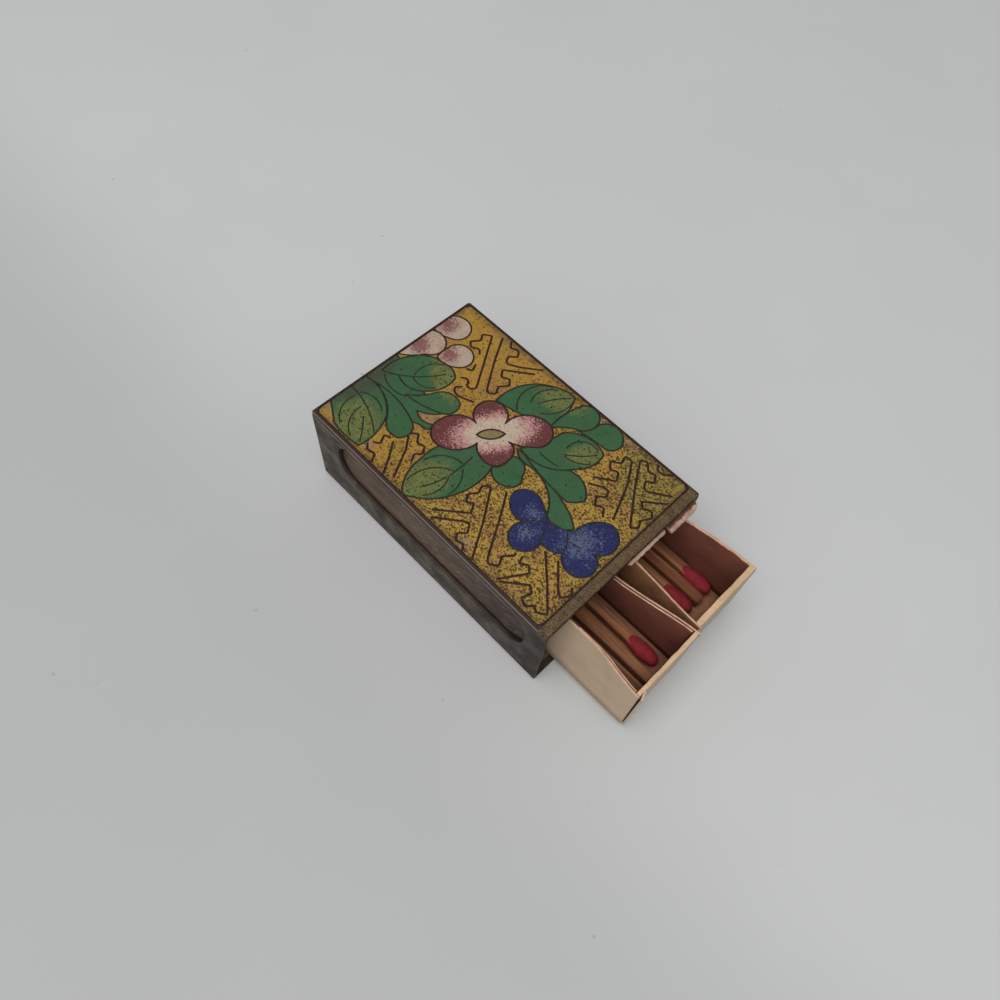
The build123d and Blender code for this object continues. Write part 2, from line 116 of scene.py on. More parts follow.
def add(kind, inputs, **settings):
    """A shader node, whose inputs are linked to sockets or set to values."""
    tree = next(value.id_data for value in inputs.values() if is_socket(value))
    node = tree.nodes.new(kind)
    for key, value in settings.items():
        setattr(node, key, value)
    for key, value in inputs.items():
        if is_socket(value):
            tree.links.new(value, node.inputs[key])
        else:
            node.inputs[key].default_value = value
    return node


def math_node(operation, a, b=0.0, clamp=False):
    return add("ShaderNodeMath", {0: a, 1: b}, operation=operation, use_clamp=clamp).outputs[0]


def plus(a, b):
    return math_node("ADD", a, b)


def minus(a, b):
    return math_node("SUBTRACT", a, b)


def times(a, b):
    return math_node("MULTIPLY", a, b)


def between(value, low, high, to_low=0.0, to_high=1.0):
    """A value spread softly between two limits."""
    spread = {"Value": value, "From Min": low, "From Max": high, "To Min": to_low, "To Max": to_high}
    return add("ShaderNodeMapRange", spread, interpolation_type="SMOOTHSTEP").outputs["Result"]


def blend_colour(share, a, b):
    return add("ShaderNodeMix", {0: share, 6: a, 7: b}, data_type="RGBA").outputs[2]


def noise_value(where, size, detail=3.0, roughness=0.6, stretch=None):
    """Noise whose blobs are about this size in metres, longer along some axes if stretched."""
    if stretch:
        where = add("ShaderNodeVectorMath", {0: where, 1: stretch}, operation="MULTIPLY").outputs[0]
    settings = {"Vector": where, "Scale": 1 / size, "Detail": detail, "Roughness": roughness}
    return add("ShaderNodeTexNoise", settings).outputs["Fac"]


def axes(where):
    return add("ShaderNodeSeparateXYZ", {0: where}).outputs


def new_material(name, roughness=0.5, **settings):
    """A material, its shader and the object's own coordinates."""
    finish = bpy.data.materials.new(name)
    finish.use_nodes = True
    shader = finish.node_tree.nodes["Principled BSDF"]
    shader.inputs["Roughness"].default_value = roughness
    for key, value in settings.items():
        shader.inputs[key.replace("_", " ")].default_value = value
    where = finish.node_tree.nodes.new("ShaderNodeTexCoord").outputs["Object"]
    return finish, shader, where


def cover(shader, colour, height=None, depth=0.0, roughness=None):
    """A shader's colour, and its bumps and roughness where they vary."""
    links = colour.id_data.links
    links.new(colour, shader.inputs["Base Color"])
    if roughness is not None:
        links.new(roughness, shader.inputs["Roughness"])
    if height is not None:
        bump = add("ShaderNodeBump", {"Height": height, "Distance": depth, "Strength": 1.0})
        links.new(bump.outputs["Normal"], shader.inputs["Normal"])


table_size = 3.0
table_mesh = bpy.data.meshes.new("table")
corners = [(-1, -1), (1, -1), (1, 1), (-1, 1)]
table_mesh.from_pydata([(x * table_size, y * table_size, 0) for x, y in corners], [], [(0, 1, 2, 3)])
table = new_object("table", table_mesh)
table_finish, shader, where = new_material("table_paint", 0.6, Specular_IOR_Level=0.3)
stain = noise_value(where, 60 * mm)
table_colour = blend_colour(stain, (0.492, 0.502, 0.498, 1), (0.535, 0.545, 0.54, 1))
crumbs = add("ShaderNodeTexVoronoi", {"Vector": where, "Scale": 1 / (7 * mm)})
crumb_chance = add("ShaderNodeSeparateColor", {0: crumbs.outputs["Color"]}).outputs["Red"]
crumb = times(between(crumbs.outputs["Distance"], 0.05, 0.035), between(crumb_chance, 0.8, 1.0, 0, 0.5))
table_colour = blend_colour(crumb, table_colour, (0.2, 0.18, 0.16, 1))
# Painted shade: the board's colour grows darker towards the near side.
near_side_shade = between(axes(where)["Y"], 0, -50 * mm, 0, 0.5)
cover(shader, blend_colour(near_side_shade, table_colour, (0.33, 0.333, 0.336, 1)))
table_mesh.materials.append(table_finish)

# Metal of the sleeve: brass sheet gone dark grey-brown with age. It is rubbed brighter along its
# edges, and finely scratched along its length.
def new_group(name, inputs, outputs):
    """A shared shader effect with named inputs and outputs."""
    tree = bpy.data.node_groups.new(name, "ShaderNodeTree")
    for label, kind, value in inputs:
        socket = tree.interface.new_socket(label, in_out="INPUT", socket_type="NodeSocket" + kind)
        if value is not None:
            socket.default_value = value
    for label, kind in outputs:
        tree.interface.new_socket(label, in_out="OUTPUT", socket_type="NodeSocket" + kind)
    return tree, tree.nodes.new("NodeGroupInput").outputs, tree.nodes.new("NodeGroupOutput").inputs


def give(made, **values):
    """What a shared effect gives, by the names of its outputs."""
    for key, value in values.items():
        value.id_data.links.new(value, made[key])


def place_group(group, where, **inputs):
    """A shared effect with its settings, whose names have _ for each space."""
    settings = {key.replace("_", " "): value for key, value in inputs.items()}
    return add("ShaderNodeGroup", {"Where": where, **settings}, node_tree=group).outputs


def colour(red, green, blue):
    """A colour read as 0 to 255 in a picture, as the light that it stands for."""
    shares = [value / 255 for value in (red, green, blue)]
    light = [share / 12.92 if share < 0.04045 else ((share + 0.055) / 1.055) ** 2.4 for share in shares]
    return (*light, 1)


aged_metal, given, made = new_group(
    "aged_metal",
    [
        ("Where", "Vector", None),
        ("Dark", "Color", (0.04, 0.033, 0.028, 1)),
        ("Light", "Color", (0.09, 0.078, 0.066, 1)),
        ("Rubbed", "Color", (0.25, 0.22, 0.19, 1)),
        ("Rub", "Float", 0.0),
        ("Blotch Size", "Float", 4 * mm),
        ("Grit", "Float", 0.3),
        ("Brushing", "Float", 1.0),
    ],
    [("Colour", "Color"), ("Roughness", "Float"), ("Height", "Float")],
)
blotch_scale = math_node("DIVIDE", 1.0, given["Blotch Size"])
blotches = add("ShaderNodeTexNoise", {"Vector": given["Where"], "Scale": blotch_scale, "Detail": 5.0})
grit = noise_value(given["Where"], 0.25 * mm, 2.0)
scratches = noise_value(given["Where"], 0.3 * mm, 3.0, stretch=(0.05, 1, 1))
tone = add("ShaderNodeMix", {0: given["Grit"], 2: blotches.outputs["Fac"], 3: grit}, data_type="FLOAT")
tone = between(tone.outputs[0], 0.36, 0.66)
broken_rub = math_node("MULTIPLY", given["Rub"], between(scratches, 0.38, 0.6), clamp=True)
give(
    made,
    Colour=blend_colour(broken_rub, blend_colour(tone, given["Dark"], given["Light"]), given["Rubbed"]),
    Roughness=between(tone, 0, 1, 0.62, 0.42),
    Height=plus(grit, times(scratches, given["Brushing"])),
)

# Sleeve: one brass sheet folded up at both long sides into a channel, with a striker window cut
# in each side. Its edges are a little rounded by wear, and its front end is darker.
def softened_copy(node, name, radius):
    """A copy of a CAD node's solid with its sharp edges rounded, which takes the node's place."""
    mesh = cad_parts[node].data.copy()
    mesh.name = name
    form = bmesh.new()
    form.from_mesh(mesh)
    bmesh.ops.remove_doubles(form, verts=form.verts, dist=0.001 * mm)
    bmesh.ops.dissolve_limit(form, angle_limit=math.radians(1), verts=form.verts, edges=form.edges)
    sharp = [e for e in form.edges if len(e.link_faces) == 2 and e.calc_face_angle() > math.radians(25)]
    bmesh.ops.bevel(
        form, geom=sharp, offset=radius, segments=2, profile=0.5, affect="EDGES", clamp_overlap=True
    )
    bmesh.ops.triangulate(form, faces=[f for f in form.faces if len(f.verts) > 4])
    for face in form.faces:
        face.smooth = True
    form.to_mesh(mesh)
    form.free()
    mesh.materials.clear()
    piece = new_object(name, mesh, "holder")
    piece.modifiers.new("even_shading", "WEIGHTED_NORMAL").keep_sharp = True
    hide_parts(node)
    return piece


sleeve_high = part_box("channel")[1]
sleeve_finish, shader, where = new_material("sleeve_metal", 0.5, Metallic=0.4, Specular_IOR_Level=0.3)
place = axes(where)
top_edge = between(place["Z"], sleeve_high.z - 0.9 * mm, sleeve_high.z - 0.2 * mm)
metal = place_group(
    aged_metal, where, Dark=colour(54, 45, 37), Light=colour(83, 72, 61), Rubbed=colour(140, 126, 114),
    Rub=math_node("MAXIMUM", top_edge, between(place["Z"], 1.0 * mm, 0.2 * mm)),
)
front_end = between(place["X"], 10 * mm, 25 * mm, 0, 0.7)
sleeve_colour = blend_colour(front_end, metal["Colour"], colour(44, 36, 30))
cover(shader, sleeve_colour, metal["Height"], 0.03 * mm, metal["Roughness"])
sleeve = softened_copy("channel", "folded_sleeve", 0.12 * mm)
sleeve.data.materials.append(sleeve_finish)

# Top plate: a flat brass plate soldered on the side walls. Its pocket holds the enamel, and its
# front rim is bare, brown and speckled. Its long edges carry a painted highlight, a pale line
# along their top, and its foot and narrow front face are darkened with painted shade.
rim_finish, shader, where = new_material("rim_metal", 0.5, Metallic=0.3, Specular_IOR_Level=0.3)
plate_low, plate_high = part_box("top_plate")
rim_front = 26.6 * mm
place = axes(where)
metal = place_group(
    aged_metal, where, Dark=colour(56, 41, 26), Light=colour(114, 92, 63), Blotch_Size=1.4 * mm, Grit=0.7,
    Brushing=0.0,
)
side_reach = math_node("ABSOLUTE", place["Y"])
narrow_rim = between(place["X"], rim_front + 0.1 * mm, rim_front - 0.1 * mm)
rim_colour = blend_colour(narrow_rim, metal["Colour"], colour(58, 40, 34))
# Painted highlight: a pale thin line along the top of the plate's long edges.
edge_highlight_line = times(
    between(side_reach, plate_high.y - 0.24 * mm, plate_high.y - 0.14 * mm),
    between(place["Z"], plate_high.z - 0.3 * mm, plate_high.z - 0.1 * mm),
)
rim_colour = blend_colour(times(edge_highlight_line, narrow_rim), rim_colour, colour(122, 110, 102))
# A dark line at the plate's foot, where it joins the walls, partly painted shade; the narrow front face is
# darkened as painted shade under the rim's edge, and the far edge is darkened too.
seam_and_shade = between(place["Z"], plate_low.z + 0.45 * mm, plate_low.z + 0.1 * mm)
front_face_shade = between(place["X"], plate_high.x - 0.12 * mm, plate_high.x - 0.04 * mm)
far_edge = times(
    between(place["Y"], plate_high.y - 0.6 * mm, plate_high.y - 0.3 * mm),
    between(place["X"], rim_front, rim_front + 0.6 * mm),
)
dark_share = math_node("MAXIMUM", math_node("MAXIMUM", seam_and_shade, front_face_shade), far_edge)
rim_colour = blend_colour(dark_share, rim_colour, colour(38, 27, 22))
cover(shader, rim_colour, metal["Height"], 0.05 * mm, metal["Roughness"])
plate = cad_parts["top_plate"]
plate.material_slots[0].material = rim_finish

# Enamel panel: bent brass wires stand on the pocket's floor and part the colours, and the cells
# between them are filled with powdered glass, fired and polished down flush. The lines are laid
# out in millimetres from the plate's centre. In a closed line every second place is the middle
# of an arc.
pocket_low = (-28.15, -18.35)
pocket_high = (26.6, 18.55)
pocket_corner = 1.2
pocket_floor = 20.56
enamel_top = 20.955
wire_top = 20.992
outline_width = 0.36
fret_width = 0.45
border_width = 0.34
vein_width = 0.28
line_step = 0.16
grid_step = 0.45
fret_corner = 0.34
field_inset = 0.12
border_inset = 0.18
enamel_wave = 0.012

flower_line = [
    (-7.4, 0.65), (-9.2, 5.7), (-3.9, 4.3), (-2.9, 8.1), (0.2, 9.95), (3.75, 8.3), (2.5, 4.2),
    (0.9, 2.8), (-0.8, 2.1), (1.1, 1.5), (1.8, -0.6), (1.0, -3.1), (-1.4, -3.7), (-3.1, -3.2),
    (-4.3, -2.1), (-5.35, -5.3), (-8.3, -7.3), (-11.4, -6.4), (-12.1, -3.2), (-10.7, -0.5),
]
flower_centre_line = [
    (-5.6, -1.0), (-4.8, 1.5), (-2.4, 2.8), (-3.2, 0.3),
]
blossom_line = [
    (6.85, -4.0), (8.4, -2.1), (10.8, -1.85), (12.7, -2.8), (14.2, -3.75), (16.5, -3.5), (18.9, -2.1),
    (19.7, 1.2), (22.2, 3.25), (25.35, 1.3), (24.1, -2.7), (25.9, -5.3), (24.7, -7.7), (22.4, -8.2),
    (20.2, -6.5), (18.4, -7.6), (16.4, -7.6), (16.0, -10.4), (13.8, -11.6), (11.45, -9.9), (11.8, -7.1),
    (8.3, -6.6),
]
bud_lines = [
    [(-22.9, 8.2), (-21.0, 10.95), (-18.6, 10.6), (-17.4, 8.6), (-18.2, 6.7), (-20.3, 5.4),
     (-22.7, 5.4), (-23.0, 6.8)],
    [(-28.6, 8.2), (-25.4, 9.5), (-23.0, 7.4), (-23.4, 5.4), (-24.6, 4.2), (-26.1, 2.1), (-28.0, 0.6),
     (-28.6, 4.4)],
    [(-24.2, 10.1), (-22.5, 13.1), (-25.0, 15.3), (-27.4, 14.6), (-28.6, 12.8), (-28.7, 11.2),
     (-28.6, 9.6), (-26.4, 9.4)],
]
leaf_lines = [
    [(-27.0, -4.0), (-27.1, -1.0), (-25.5, 2.6), (-23.4, 4.6), (-20.6, 5.3), (-18.2, 5.35),
     (-16.9, 4.4), (-16.8, 1.3), (-18.3, -1.3), (-21.0, -3.0), (-24.2, -2.5), (-25.5, -3.4)],
    [(-20.2, -4.4), (-18.0, -2.2), (-17.0, -0.4), (-15.4, 1.4), (-12.2, 1.3), (-11.6, -0.6),
     (-13.2, -2.6), (-16.4, -3.8)],
    [(-26.3, -6.8), (-21.4, -6.2), (-15.0, -7.5), (-13.45, -9.5), (-14.2, -11.4), (-15.9, -11.75),
     (-18.3, -10.5), (-22.0, -7.55)],
    [(-28.6, -7.2), (-23.5, -7.1), (-19.0, -9.9), (-17.5, -13.4), (-17.5, -17.3), (-20.8, -17.75),
     (-24.0, -17.4), (-26.2, -16.0), (-28.6, -14.6), (-28.7, -11.2)],
    [(-28.6, 0.4), (-22.0, -1.0), (-13.0, -2.8), (-14.4, -4.2), (-16.2, -5.2), (-14.6, -5.9),
     (-12.4, -5.3), (-11.9, -6.0), (-12.3, -6.7), (-13.7, -6.9), (-15.0, -7.4), (-20.0, -7.0),
     (-28.6, -7.4), (-28.7, -3.5)],
    [(1.4, 2.7), (7.2, 3.2), (10.6, 6.4), (12.25, 9.2), (12.2, 12.4), (8.0, 12.95), (4.2, 10.4),
     (3.4, 6.6)],
    [(8.3, 4.2), (12.7, 5.95), (16.1, 3.3), (15.2, 1.9), (14.1, 0.9), (9.0, 1.2), (3.4, 2.1),
     (6.0, 3.0)],
    [(1.2, 2.2), (8.0, 2.0), (13.4, 0.5), (16.3, -0.5), (18.5, -1.9), (16.6, -3.6), (13.6, -3.3),
     (10.5, 0.1), (4.6, 1.2), (2.9, 1.2)],
    [(1.4, 0.4), (4.2, 0.8), (5.7, -1.2), (6.4, -2.9), (5.5, -4.2), (3.2, -5.0), (0.9, -3.6),
     (1.9, -1.6)],
    [(-4.4, -2.4), (-8.0, -6.6), (-8.45, -11.2), (-7.8, -15.0), (-5.9, -17.8), (-5.0, -17.95),
     (-4.3, -17.6), (-1.2, -14.9), (0.75, -11.3), (1.5, -7.5), (0.9, -3.4), (-1.9, -2.4)],
    [(1.9, 9.6), (1.8, 13.5), (2.7, 17.3), (4.9, 18.35), (7.1, 16.8), (7.1, 14.5), (5.2, 12.7),
     (3.4, 11.2)],
    [(7.4, 16.3), (10.2, 18.35), (12.5, 17.1), (13.1, 15.2), (11.6, 13.5), (8.6, 13.25), (5.6, 12.7),
     (7.0, 14.4)],
    [(-8.5, 6.6), (-7.3, 13.1), (-3.2, 16.7), (-1.2, 17.45), (0.7, 17.45), (1.8, 14.2), (1.8, 10.0),
     (-3.0, 8.0)],
]
vein_lines = [
    [(-24.2, -2.5), (-21.3, 0.1), (-18.7, 3.9)],
    [(-22.3, -0.5), (-22.6, 2.3), (-20.5, 4.95)],
    [(-22.2, -0.9), (-19.5, -1.0), (-17.7, 0.5)],
    [(-26.0, -4.3), (-23.2, -5.4), (-19.8, -4.6)],
    [(-25.9, -10.0), (-23.2, -8.95), (-20.2, -9.9)],
    [(-27.8, -10.3), (-22.4, -11.3), (-17.7, -13.8)],
    [(-25.9, -11.2), (-25.9, -13.6), (-23.2, -16.7)],
    [(-23.4, -11.9), (-22.9, -14.6), (-20.0, -17.1)],
    [(-21.6, -12.9), (-19.7, -14.7), (-17.9, -16.8)],
    [(-3.7, 16.2), (-6.5, 12.2), (-4.5, 7.9)],
    [(-2.6, 16.4), (-4.6, 13.6), (-4.0, 10.8)],
    [(0.2, 16.9), (-1.6, 14.6), (-3.0, 11.6)],
    [(0.9, 16.9), (1.1, 14.2), (-1.4, 10.4)],
    [(11.0, 12.3), (7.7, 11.5), (6.9, 8.6)],
    [(11.4, 11.5), (9.8, 9.4), (7.5, 7.4)],
    [(11.9, 9.4), (10.2, 7.8), (7.7, 7.2)],
    [(8.4, 4.8), (6.2, 4.5), (4.2, 4.6)],
    [(-2.8, -4.6), (-2.65, -7.4), (-2.75, -10.0)],
    [(-7.9, -11.2), (-6.3, -8.1), (-2.9, -6.8)],
    [(-2.9, -8.9), (-6.2, -11.8), (-6.9, -15.9)],
    [(-2.7, -10.2), (-1.85, -13.0), (-3.0, -15.9)],
    [(-2.9, -10.6), (-3.4, -12.9), (-4.5, -15.2)],
    [(-2.2, -7.5), (-0.5, -9.7), (-0.2, -12.8)],
]
seam_lines = [
    [(11.9, -7.0), (13.9, -4.9), (16.8, -3.7)],
    [(16.3, -7.5), (15.5, -6.1), (15.2, -4.3)],
    [(20.1, -6.4), (19.6, -4.9), (18.4, -3.3)],
    [(19.4, -4.1), (20.4, -4.0), (21.6, -3.6)],
]
fret_lines = [
    [(-17.9, 11.5), (-18.7, 12.3), (-19.4, 12.1), (-20.2, 11.5), (-21.3, 12.4), (-20.1, 14.0),
     (-21.0, 15.2), (-19.5, 16.3), (-12.8, 5.8), (-13.4, 4.9), (-14.3, 4.9), (-14.9, 5.9), (-15.6, 6.0),
     (-16.3, 5.4)],
    [(-14.7, 4.2), (-15.6, 3.2), (-14.9, 2.4), (-13.8, 2.2), (-12.2, 2.8), (-10.8, 3.4)],
    [(-16.7, 9.4), (-16.1, 7.9), (-17.2, 7.5)],
    [(-17.9, 17.5), (-15.0, 12.5), (-11.3, 7.0), (-10.6, 6.6), (-9.6, 7.6), (-10.4, 9.0), (-9.2, 10.6),
     (-10.2, 11.7), (-11.6, 10.9), (-12.6, 12.2), (-7.9, 15.9)],
    [(-16.2, 18.1), (-15.2, 16.8), (-14.2, 17.4), (-13.6, 17.4), (-12.8, 16.3), (-14.1, 15.2),
     (-13.6, 14.2), (-12.9, 13.8), (-11.0, 14.9), (-7.6, 17.6)],
    [(-14.6, -7.9), (-13.6, -9.3), (-12.4, -8.3), (-11.2, -9.7), (-9.8, -9.2), (-8.9, -10.5),
     (-9.9, -11.6), (-9.0, -13.0)],
    [(-13.3, -9.8), (-11.5, -12.0), (-8.7, -17.2)],
    [(-14.2, -12.5), (-12.3, -15.0), (-10.4, -18.0)],
    [(-15.0, -12.3), (-16.2, -12.8), (-15.3, -14.4), (-16.4, -15.1)],
    [(-16.9, -15.9), (-15.9, -16.8), (-14.4, -16.4), (-13.4, -18.0)],
    [(0.0, -16.5), (4.9, -12.3), (3.9, -10.6), (2.9, -11.4), (1.9, -10.2), (3.0, -8.7), (2.4, -7.3),
     (3.6, -6.4), (7.5, -12.0), (11.1, -18.0)],
    [(1.0, -17.6), (5.4, -14.0), (6.2, -13.8), (7.2, -15.2), (6.0, -16.4), (6.8, -17.4), (8.2, -17.1),
     (8.9, -18.0)],
    [(6.1, -5.2), (9.0, -9.8), (12.6, -15.9), (13.3, -16.5), (14.8, -15.6), (13.9, -13.9),
     (15.2, -12.5), (15.0, -11.9)],
    [(16.2, -11.5), (16.6, -12.9), (18.0, -11.9), (19.0, -12.9), (16.1, -17.4)],
    [(16.8, -17.3), (20.5, -14.2), (21.7, -15.1), (21.0, -16.7), (22.3, -17.4), (23.4, -16.2),
     (24.3, -16.8), (25.8, -15.8), (22.0, -11.9), (18.0, -8.2)],
    [(20.6, -7.9), (24.5, -12.0), (25.3, -12.2), (26.2, -10.8), (25.3, -9.7)],
    [(21.7, 4.1), (18.9, 11.0), (16.3, 15.1), (14.9, 15.0), (15.4, 13.4), (13.8, 12.3), (14.8, 11.0),
     (16.2, 11.7), (17.2, 10.1), (14.0, 7.9)],
    [(14.2, 6.3), (16.5, 7.6), (17.5, 7.7), (18.1, 6.5), (16.8, 5.5), (17.7, 4.0), (19.2, 4.7),
     (20.2, 3.2)],
    [(25.7, 14.9), (22.0, 12.4), (21.3, 12.5), (20.5, 13.8), (21.8, 14.6), (21.0, 16.0), (19.6, 15.6),
     (18.3, 17.0), (17.2, 16.3), (20.0, 11.7), (24.6, 5.1), (25.6, 6.1), (24.9, 7.4), (26.0, 9.2),
     (24.9, 10.2), (23.7, 9.3), (22.7, 10.3), (26.0, 13.2)],
    [(23.0, 18.1), (21.5, 16.9), (20.4, 17.0), (20.0, 18.0)],
]


def arc_places(a, b, c):
    """Places along the arc through three places, without its last."""
    a, b, c = Vector(a), Vector(b), Vector(c)
    ab, ac = b - a, c - a
    twist = ab.x * ac.y - ab.y * ac.x
    square_ab, square_ac = ab.length_squared, ac.length_squared
    shift = Vector((ac.y * square_ab - ab.y * square_ac, ab.x * square_ac - ac.x * square_ab))
    centre = a + shift / (2 * twist)
    start = math.atan2(a.y - centre.y, a.x - centre.x)
    end = math.atan2(c.y - centre.y, c.x - centre.x)
    turn = (end - start) % math.tau if twist > 0 else -((start - end) % math.tau)
    radius = (a - centre).length
    count = max(2, math.ceil(abs(turn) * radius / line_step))
    angles = [start + turn * index / count for index in range(count)]
    return [centre + radius * Vector((math.cos(angle), math.sin(angle))) for angle in angles]


def closed_line(places):
    """A closed line of arcs, turned so that it runs anticlockwise."""
    line = []
    for index in range(0, len(places), 2):
        line += arc_places(places[index], places[index + 1], places[(index + 2) % len(places)])
    area = sum(a.x * b.y - a.y * b.x for a, b in zip(line, line[1:] + line[:1]))
    return line if area > 0 else line[::-1]


def bent_line(places, radius):
    """An open line of straight runs, whose corners are rounded off."""
    places = [Vector(place) for place in places]
    line = [places[0]]
    for before, corner, after in zip(places, places[1:], places[2:]):
        cut_in = min(radius, (corner - before).length * 0.45)
        cut_out = min(radius, (after - corner).length * 0.45)
        enter = corner + (before - corner).normalized() * cut_in
        leave = corner + (after - corner).normalized() * cut_out
        for share in (0, 0.25, 0.5, 0.75, 1):
            line.append(enter.lerp(corner, share).lerp(corner.lerp(leave, share), share))
    line.append(places[-1])
    return spaced(line)


def spaced(line):
    """The same line with more places on its long runs."""
    places = []
    for a, b in zip(line, line[1:]):
        count = max(1, math.ceil((b - a).length / line_step))
        places += [a.lerp(b, index / count) for index in range(count)]
    return places + [line[-1]]


def pocket_line(inset):
    """The pocket's outline, a rectangle with round corners."""
    line = []
    radius = pocket_corner - inset
    x0, y0 = (value + inset + radius for value in pocket_low)
    x1, y1 = (value - inset - radius for value in pocket_high)
    for x, y, first in ((x1, y0, -90), (x1, y1, 0), (x0, y1, 90), (x0, y0, 180)):
        for step in range(7):
            angle = math.radians(first + 15 * step)
            line.append(Vector((x + radius * math.cos(angle), y + radius * math.sin(angle))))
    return spaced(line + line[:1])[:-1]


def inside(line, places):
    """Which places lie inside a closed line."""
    ring = np.array([tuple(p) for p in line])
    after = np.roll(ring, -1, axis=0)
    px, py = np.array([tuple(p) for p in places]).T[:, :, None]
    crosses = (ring[:, 1] > py) != (after[:, 1] > py)
    rise = np.where(after[:, 1] == ring[:, 1], 1e-9, after[:, 1] - ring[:, 1])
    at_x = ring[:, 0] + (py - ring[:, 1]) * (after[:, 0] - ring[:, 0]) / rise
    return ((crosses & (px < at_x)).sum(axis=1) % 2).astype(bool)


# What lies on top comes first: the flower, then the blossom, the buds and the leaves.
motifs = [("flower_centre", closed_line(flower_centre_line)), ("petal", closed_line(flower_line))]
motifs += [("blossom", closed_line(blossom_line))]
motifs += [("bud", closed_line(line)) for line in bud_lines]
motifs += [("leaf", closed_line(line)) for line in leaf_lines]
field_line = pocket_line(field_inset)


def fill_cells():
    """The pocket's floor plan as triangles, sorted by the colour that fills them."""
    places, faces = [], []
    for line in [field_line] + [line for name, line in motifs]:
        faces.append(list(range(len(places), len(places) + len(line))))
        places += line
    columns = int((pocket_high[0] - pocket_low[0]) / grid_step)
    rows = int((pocket_high[1] - pocket_low[1]) / grid_step)
    for column in range(1, columns):
        for row in range(1, rows):
            shift = grid_step / 2 if column % 2 else 0
            x, y = pocket_low[0] + column * grid_step, pocket_low[1] + row * grid_step
            places.append(Vector((x, y + shift * 0.9)))
    found = geometry.delaunay_2d_cdt(places, [], faces, 1, 1e-5)
    cells = {}
    for triangle, source in zip(found[2], found[5]):
        if 0 in source:
            above = [index - 1 for index in source if index > 0]
            name = motifs[min(above)][0] if above else "ground"
            cells.setdefault(name, []).append(triangle)
    return found[0], cells


def finish_form(form, name, body, finishes, turn_out=True):
    """A form as a mesh with its finishes, which rides on a body."""
    if turn_out:
        bmesh.ops.recalc_face_normals(form, faces=form.faces)
    mesh = bpy.data.meshes.new(name)
    form.to_mesh(mesh)
    form.free()
    for finish in finishes:
        mesh.materials.append(finish)
    return new_object(name, mesh, body)


def enamel_piece(name, kind, finish):
    """One colour's cells as closed solids, a little wavy on top."""
    form = bmesh.new()
    corners = {}
    for triangle in cells[kind]:
        for index in triangle:
            if index not in corners:
                x, y = spots[index]
                wave = enamel_wave * noise.noise(Vector((x, y, 0)) * 0.5)
                corners[index] = form.verts.new(Vector((x, y, enamel_top + wave)) * mm)
        form.faces.new([corners[index] for index in triangle])
    tops = form.faces[:]
    bmesh.ops.recalc_face_normals(form, faces=tops)
    for face in tops:
        if face.normal.z < 0:
            face.normal_flip()
        face.smooth = True
    copies = bmesh.ops.duplicate(form, geom=form.verts[:] + form.edges[:] + tops)
    twins = copies["vert_map"]
    for face in [item for item in copies["geom"] if isinstance(item, bmesh.types.BMFace)]:
        face.normal_flip()
        face.smooth = False
    for vert in corners.values():
        twins[vert].co.z = pocket_floor * mm
    for edge in [e for e in form.edges if e.is_boundary and e.verts[0].co.z > (pocket_floor + 0.1) * mm]:
        a, b = edge.link_loops[0].vert, edge.link_loops[0].link_loop_next.vert
        form.faces.new((b, a, twins[a], twins[b]))
    piece = finish_form(form, name, "holder", [finish], turn_out=False)
    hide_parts("enamel_" + kind)


fired_enamel, given, made = new_group(
    "fired_enamel",
    [
        ("Where", "Vector", None),
        ("Base", "Color", (0.5, 0.5, 0.5, 1)),
        ("Pit", "Color", (0.02, 0.015, 0.01, 1)),
        ("Pit Spacing", "Float", 0.7 * mm),
        ("Pit Reach", "Float", 0.2),
        ("Pit Share", "Float", 0.5),
        ("Grain", "Float", 0.3),
        ("Speck Share", "Float", 0.1),
    ],
    [("Colour", "Color"), ("Roughness", "Float"), ("Height", "Float")],
)
pit_scale = math_node("DIVIDE", 1.0, given["Pit Spacing"])
pits = add("ShaderNodeTexVoronoi", {"Vector": given["Where"], "Scale": pit_scale}).outputs
chance = add("ShaderNodeSeparateColor", {0: pits["Color"]}).outputs
reach = times(given["Pit Reach"], between(chance["Red"], 0, 1, 0.4, 1.3))
present = math_node("LESS_THAN", chance["Green"], given["Pit Share"])
pit = math_node("MULTIPLY", between(minus(reach, pits["Distance"]), 0.0, 0.06), present, clamp=True)
fine = noise_value(given["Where"], 0.3 * mm, 2.0, 0.7)
specks = noise_value(given["Where"], 0.4 * mm, 3.0, 0.75, stretch=(1.0, 1.15, 1))
coarse = noise_value(given["Where"], 2.6 * mm, 3.0)
speck_level = minus(0.68, times(given["Speck Share"], 0.25))
speck = between(minus(specks, speck_level), 0.0, 0.06, 0, 0.95)
hollow = math_node("MAXIMUM", pit, speck)
light = plus(plus(times(minus(fine, 0.5), given["Grain"]), times(minus(coarse, 0.5), 0.5)), 1.0)
lit = add("ShaderNodeVectorMath", {0: given["Base"], "Scale": light}, operation="SCALE").outputs[0]
give(
    made,
    Colour=blend_colour(hollow, lit, given["Pit"]),
    Roughness=between(fine, 0.3, 0.7, 0.36, 0.54),
    Height=plus(times(hollow, -1.0), times(fine, 0.3)),
)


def oval_distance(where, centre, turn, reach):
    """Distance from a place on the plate, as a share of an oval's reach along and across its turn."""
    settings = {
        "Vector": where,
        "Location": (centre[0] * mm, centre[1] * mm, 0),
        "Rotation": (0, 0, math.radians(turn)),
        "Scale": (reach[0] * mm, reach[1] * mm, 1.0),
    }
    placed = add("ShaderNodeMapping", settings, vector_type="TEXTURE").outputs["Vector"]
    return add("ShaderNodeVectorMath", {0: placed}, operation="LENGTH").outputs["Value"]


def nearest_oval(where, ovals):
    """The smallest of the distances from several ovals."""
    least = None
    for centre, turn, reach in ovals:
        distance = oval_distance(where, centre, turn, reach)
        least = distance if least is None else math_node("MINIMUM", least, distance)
    return least


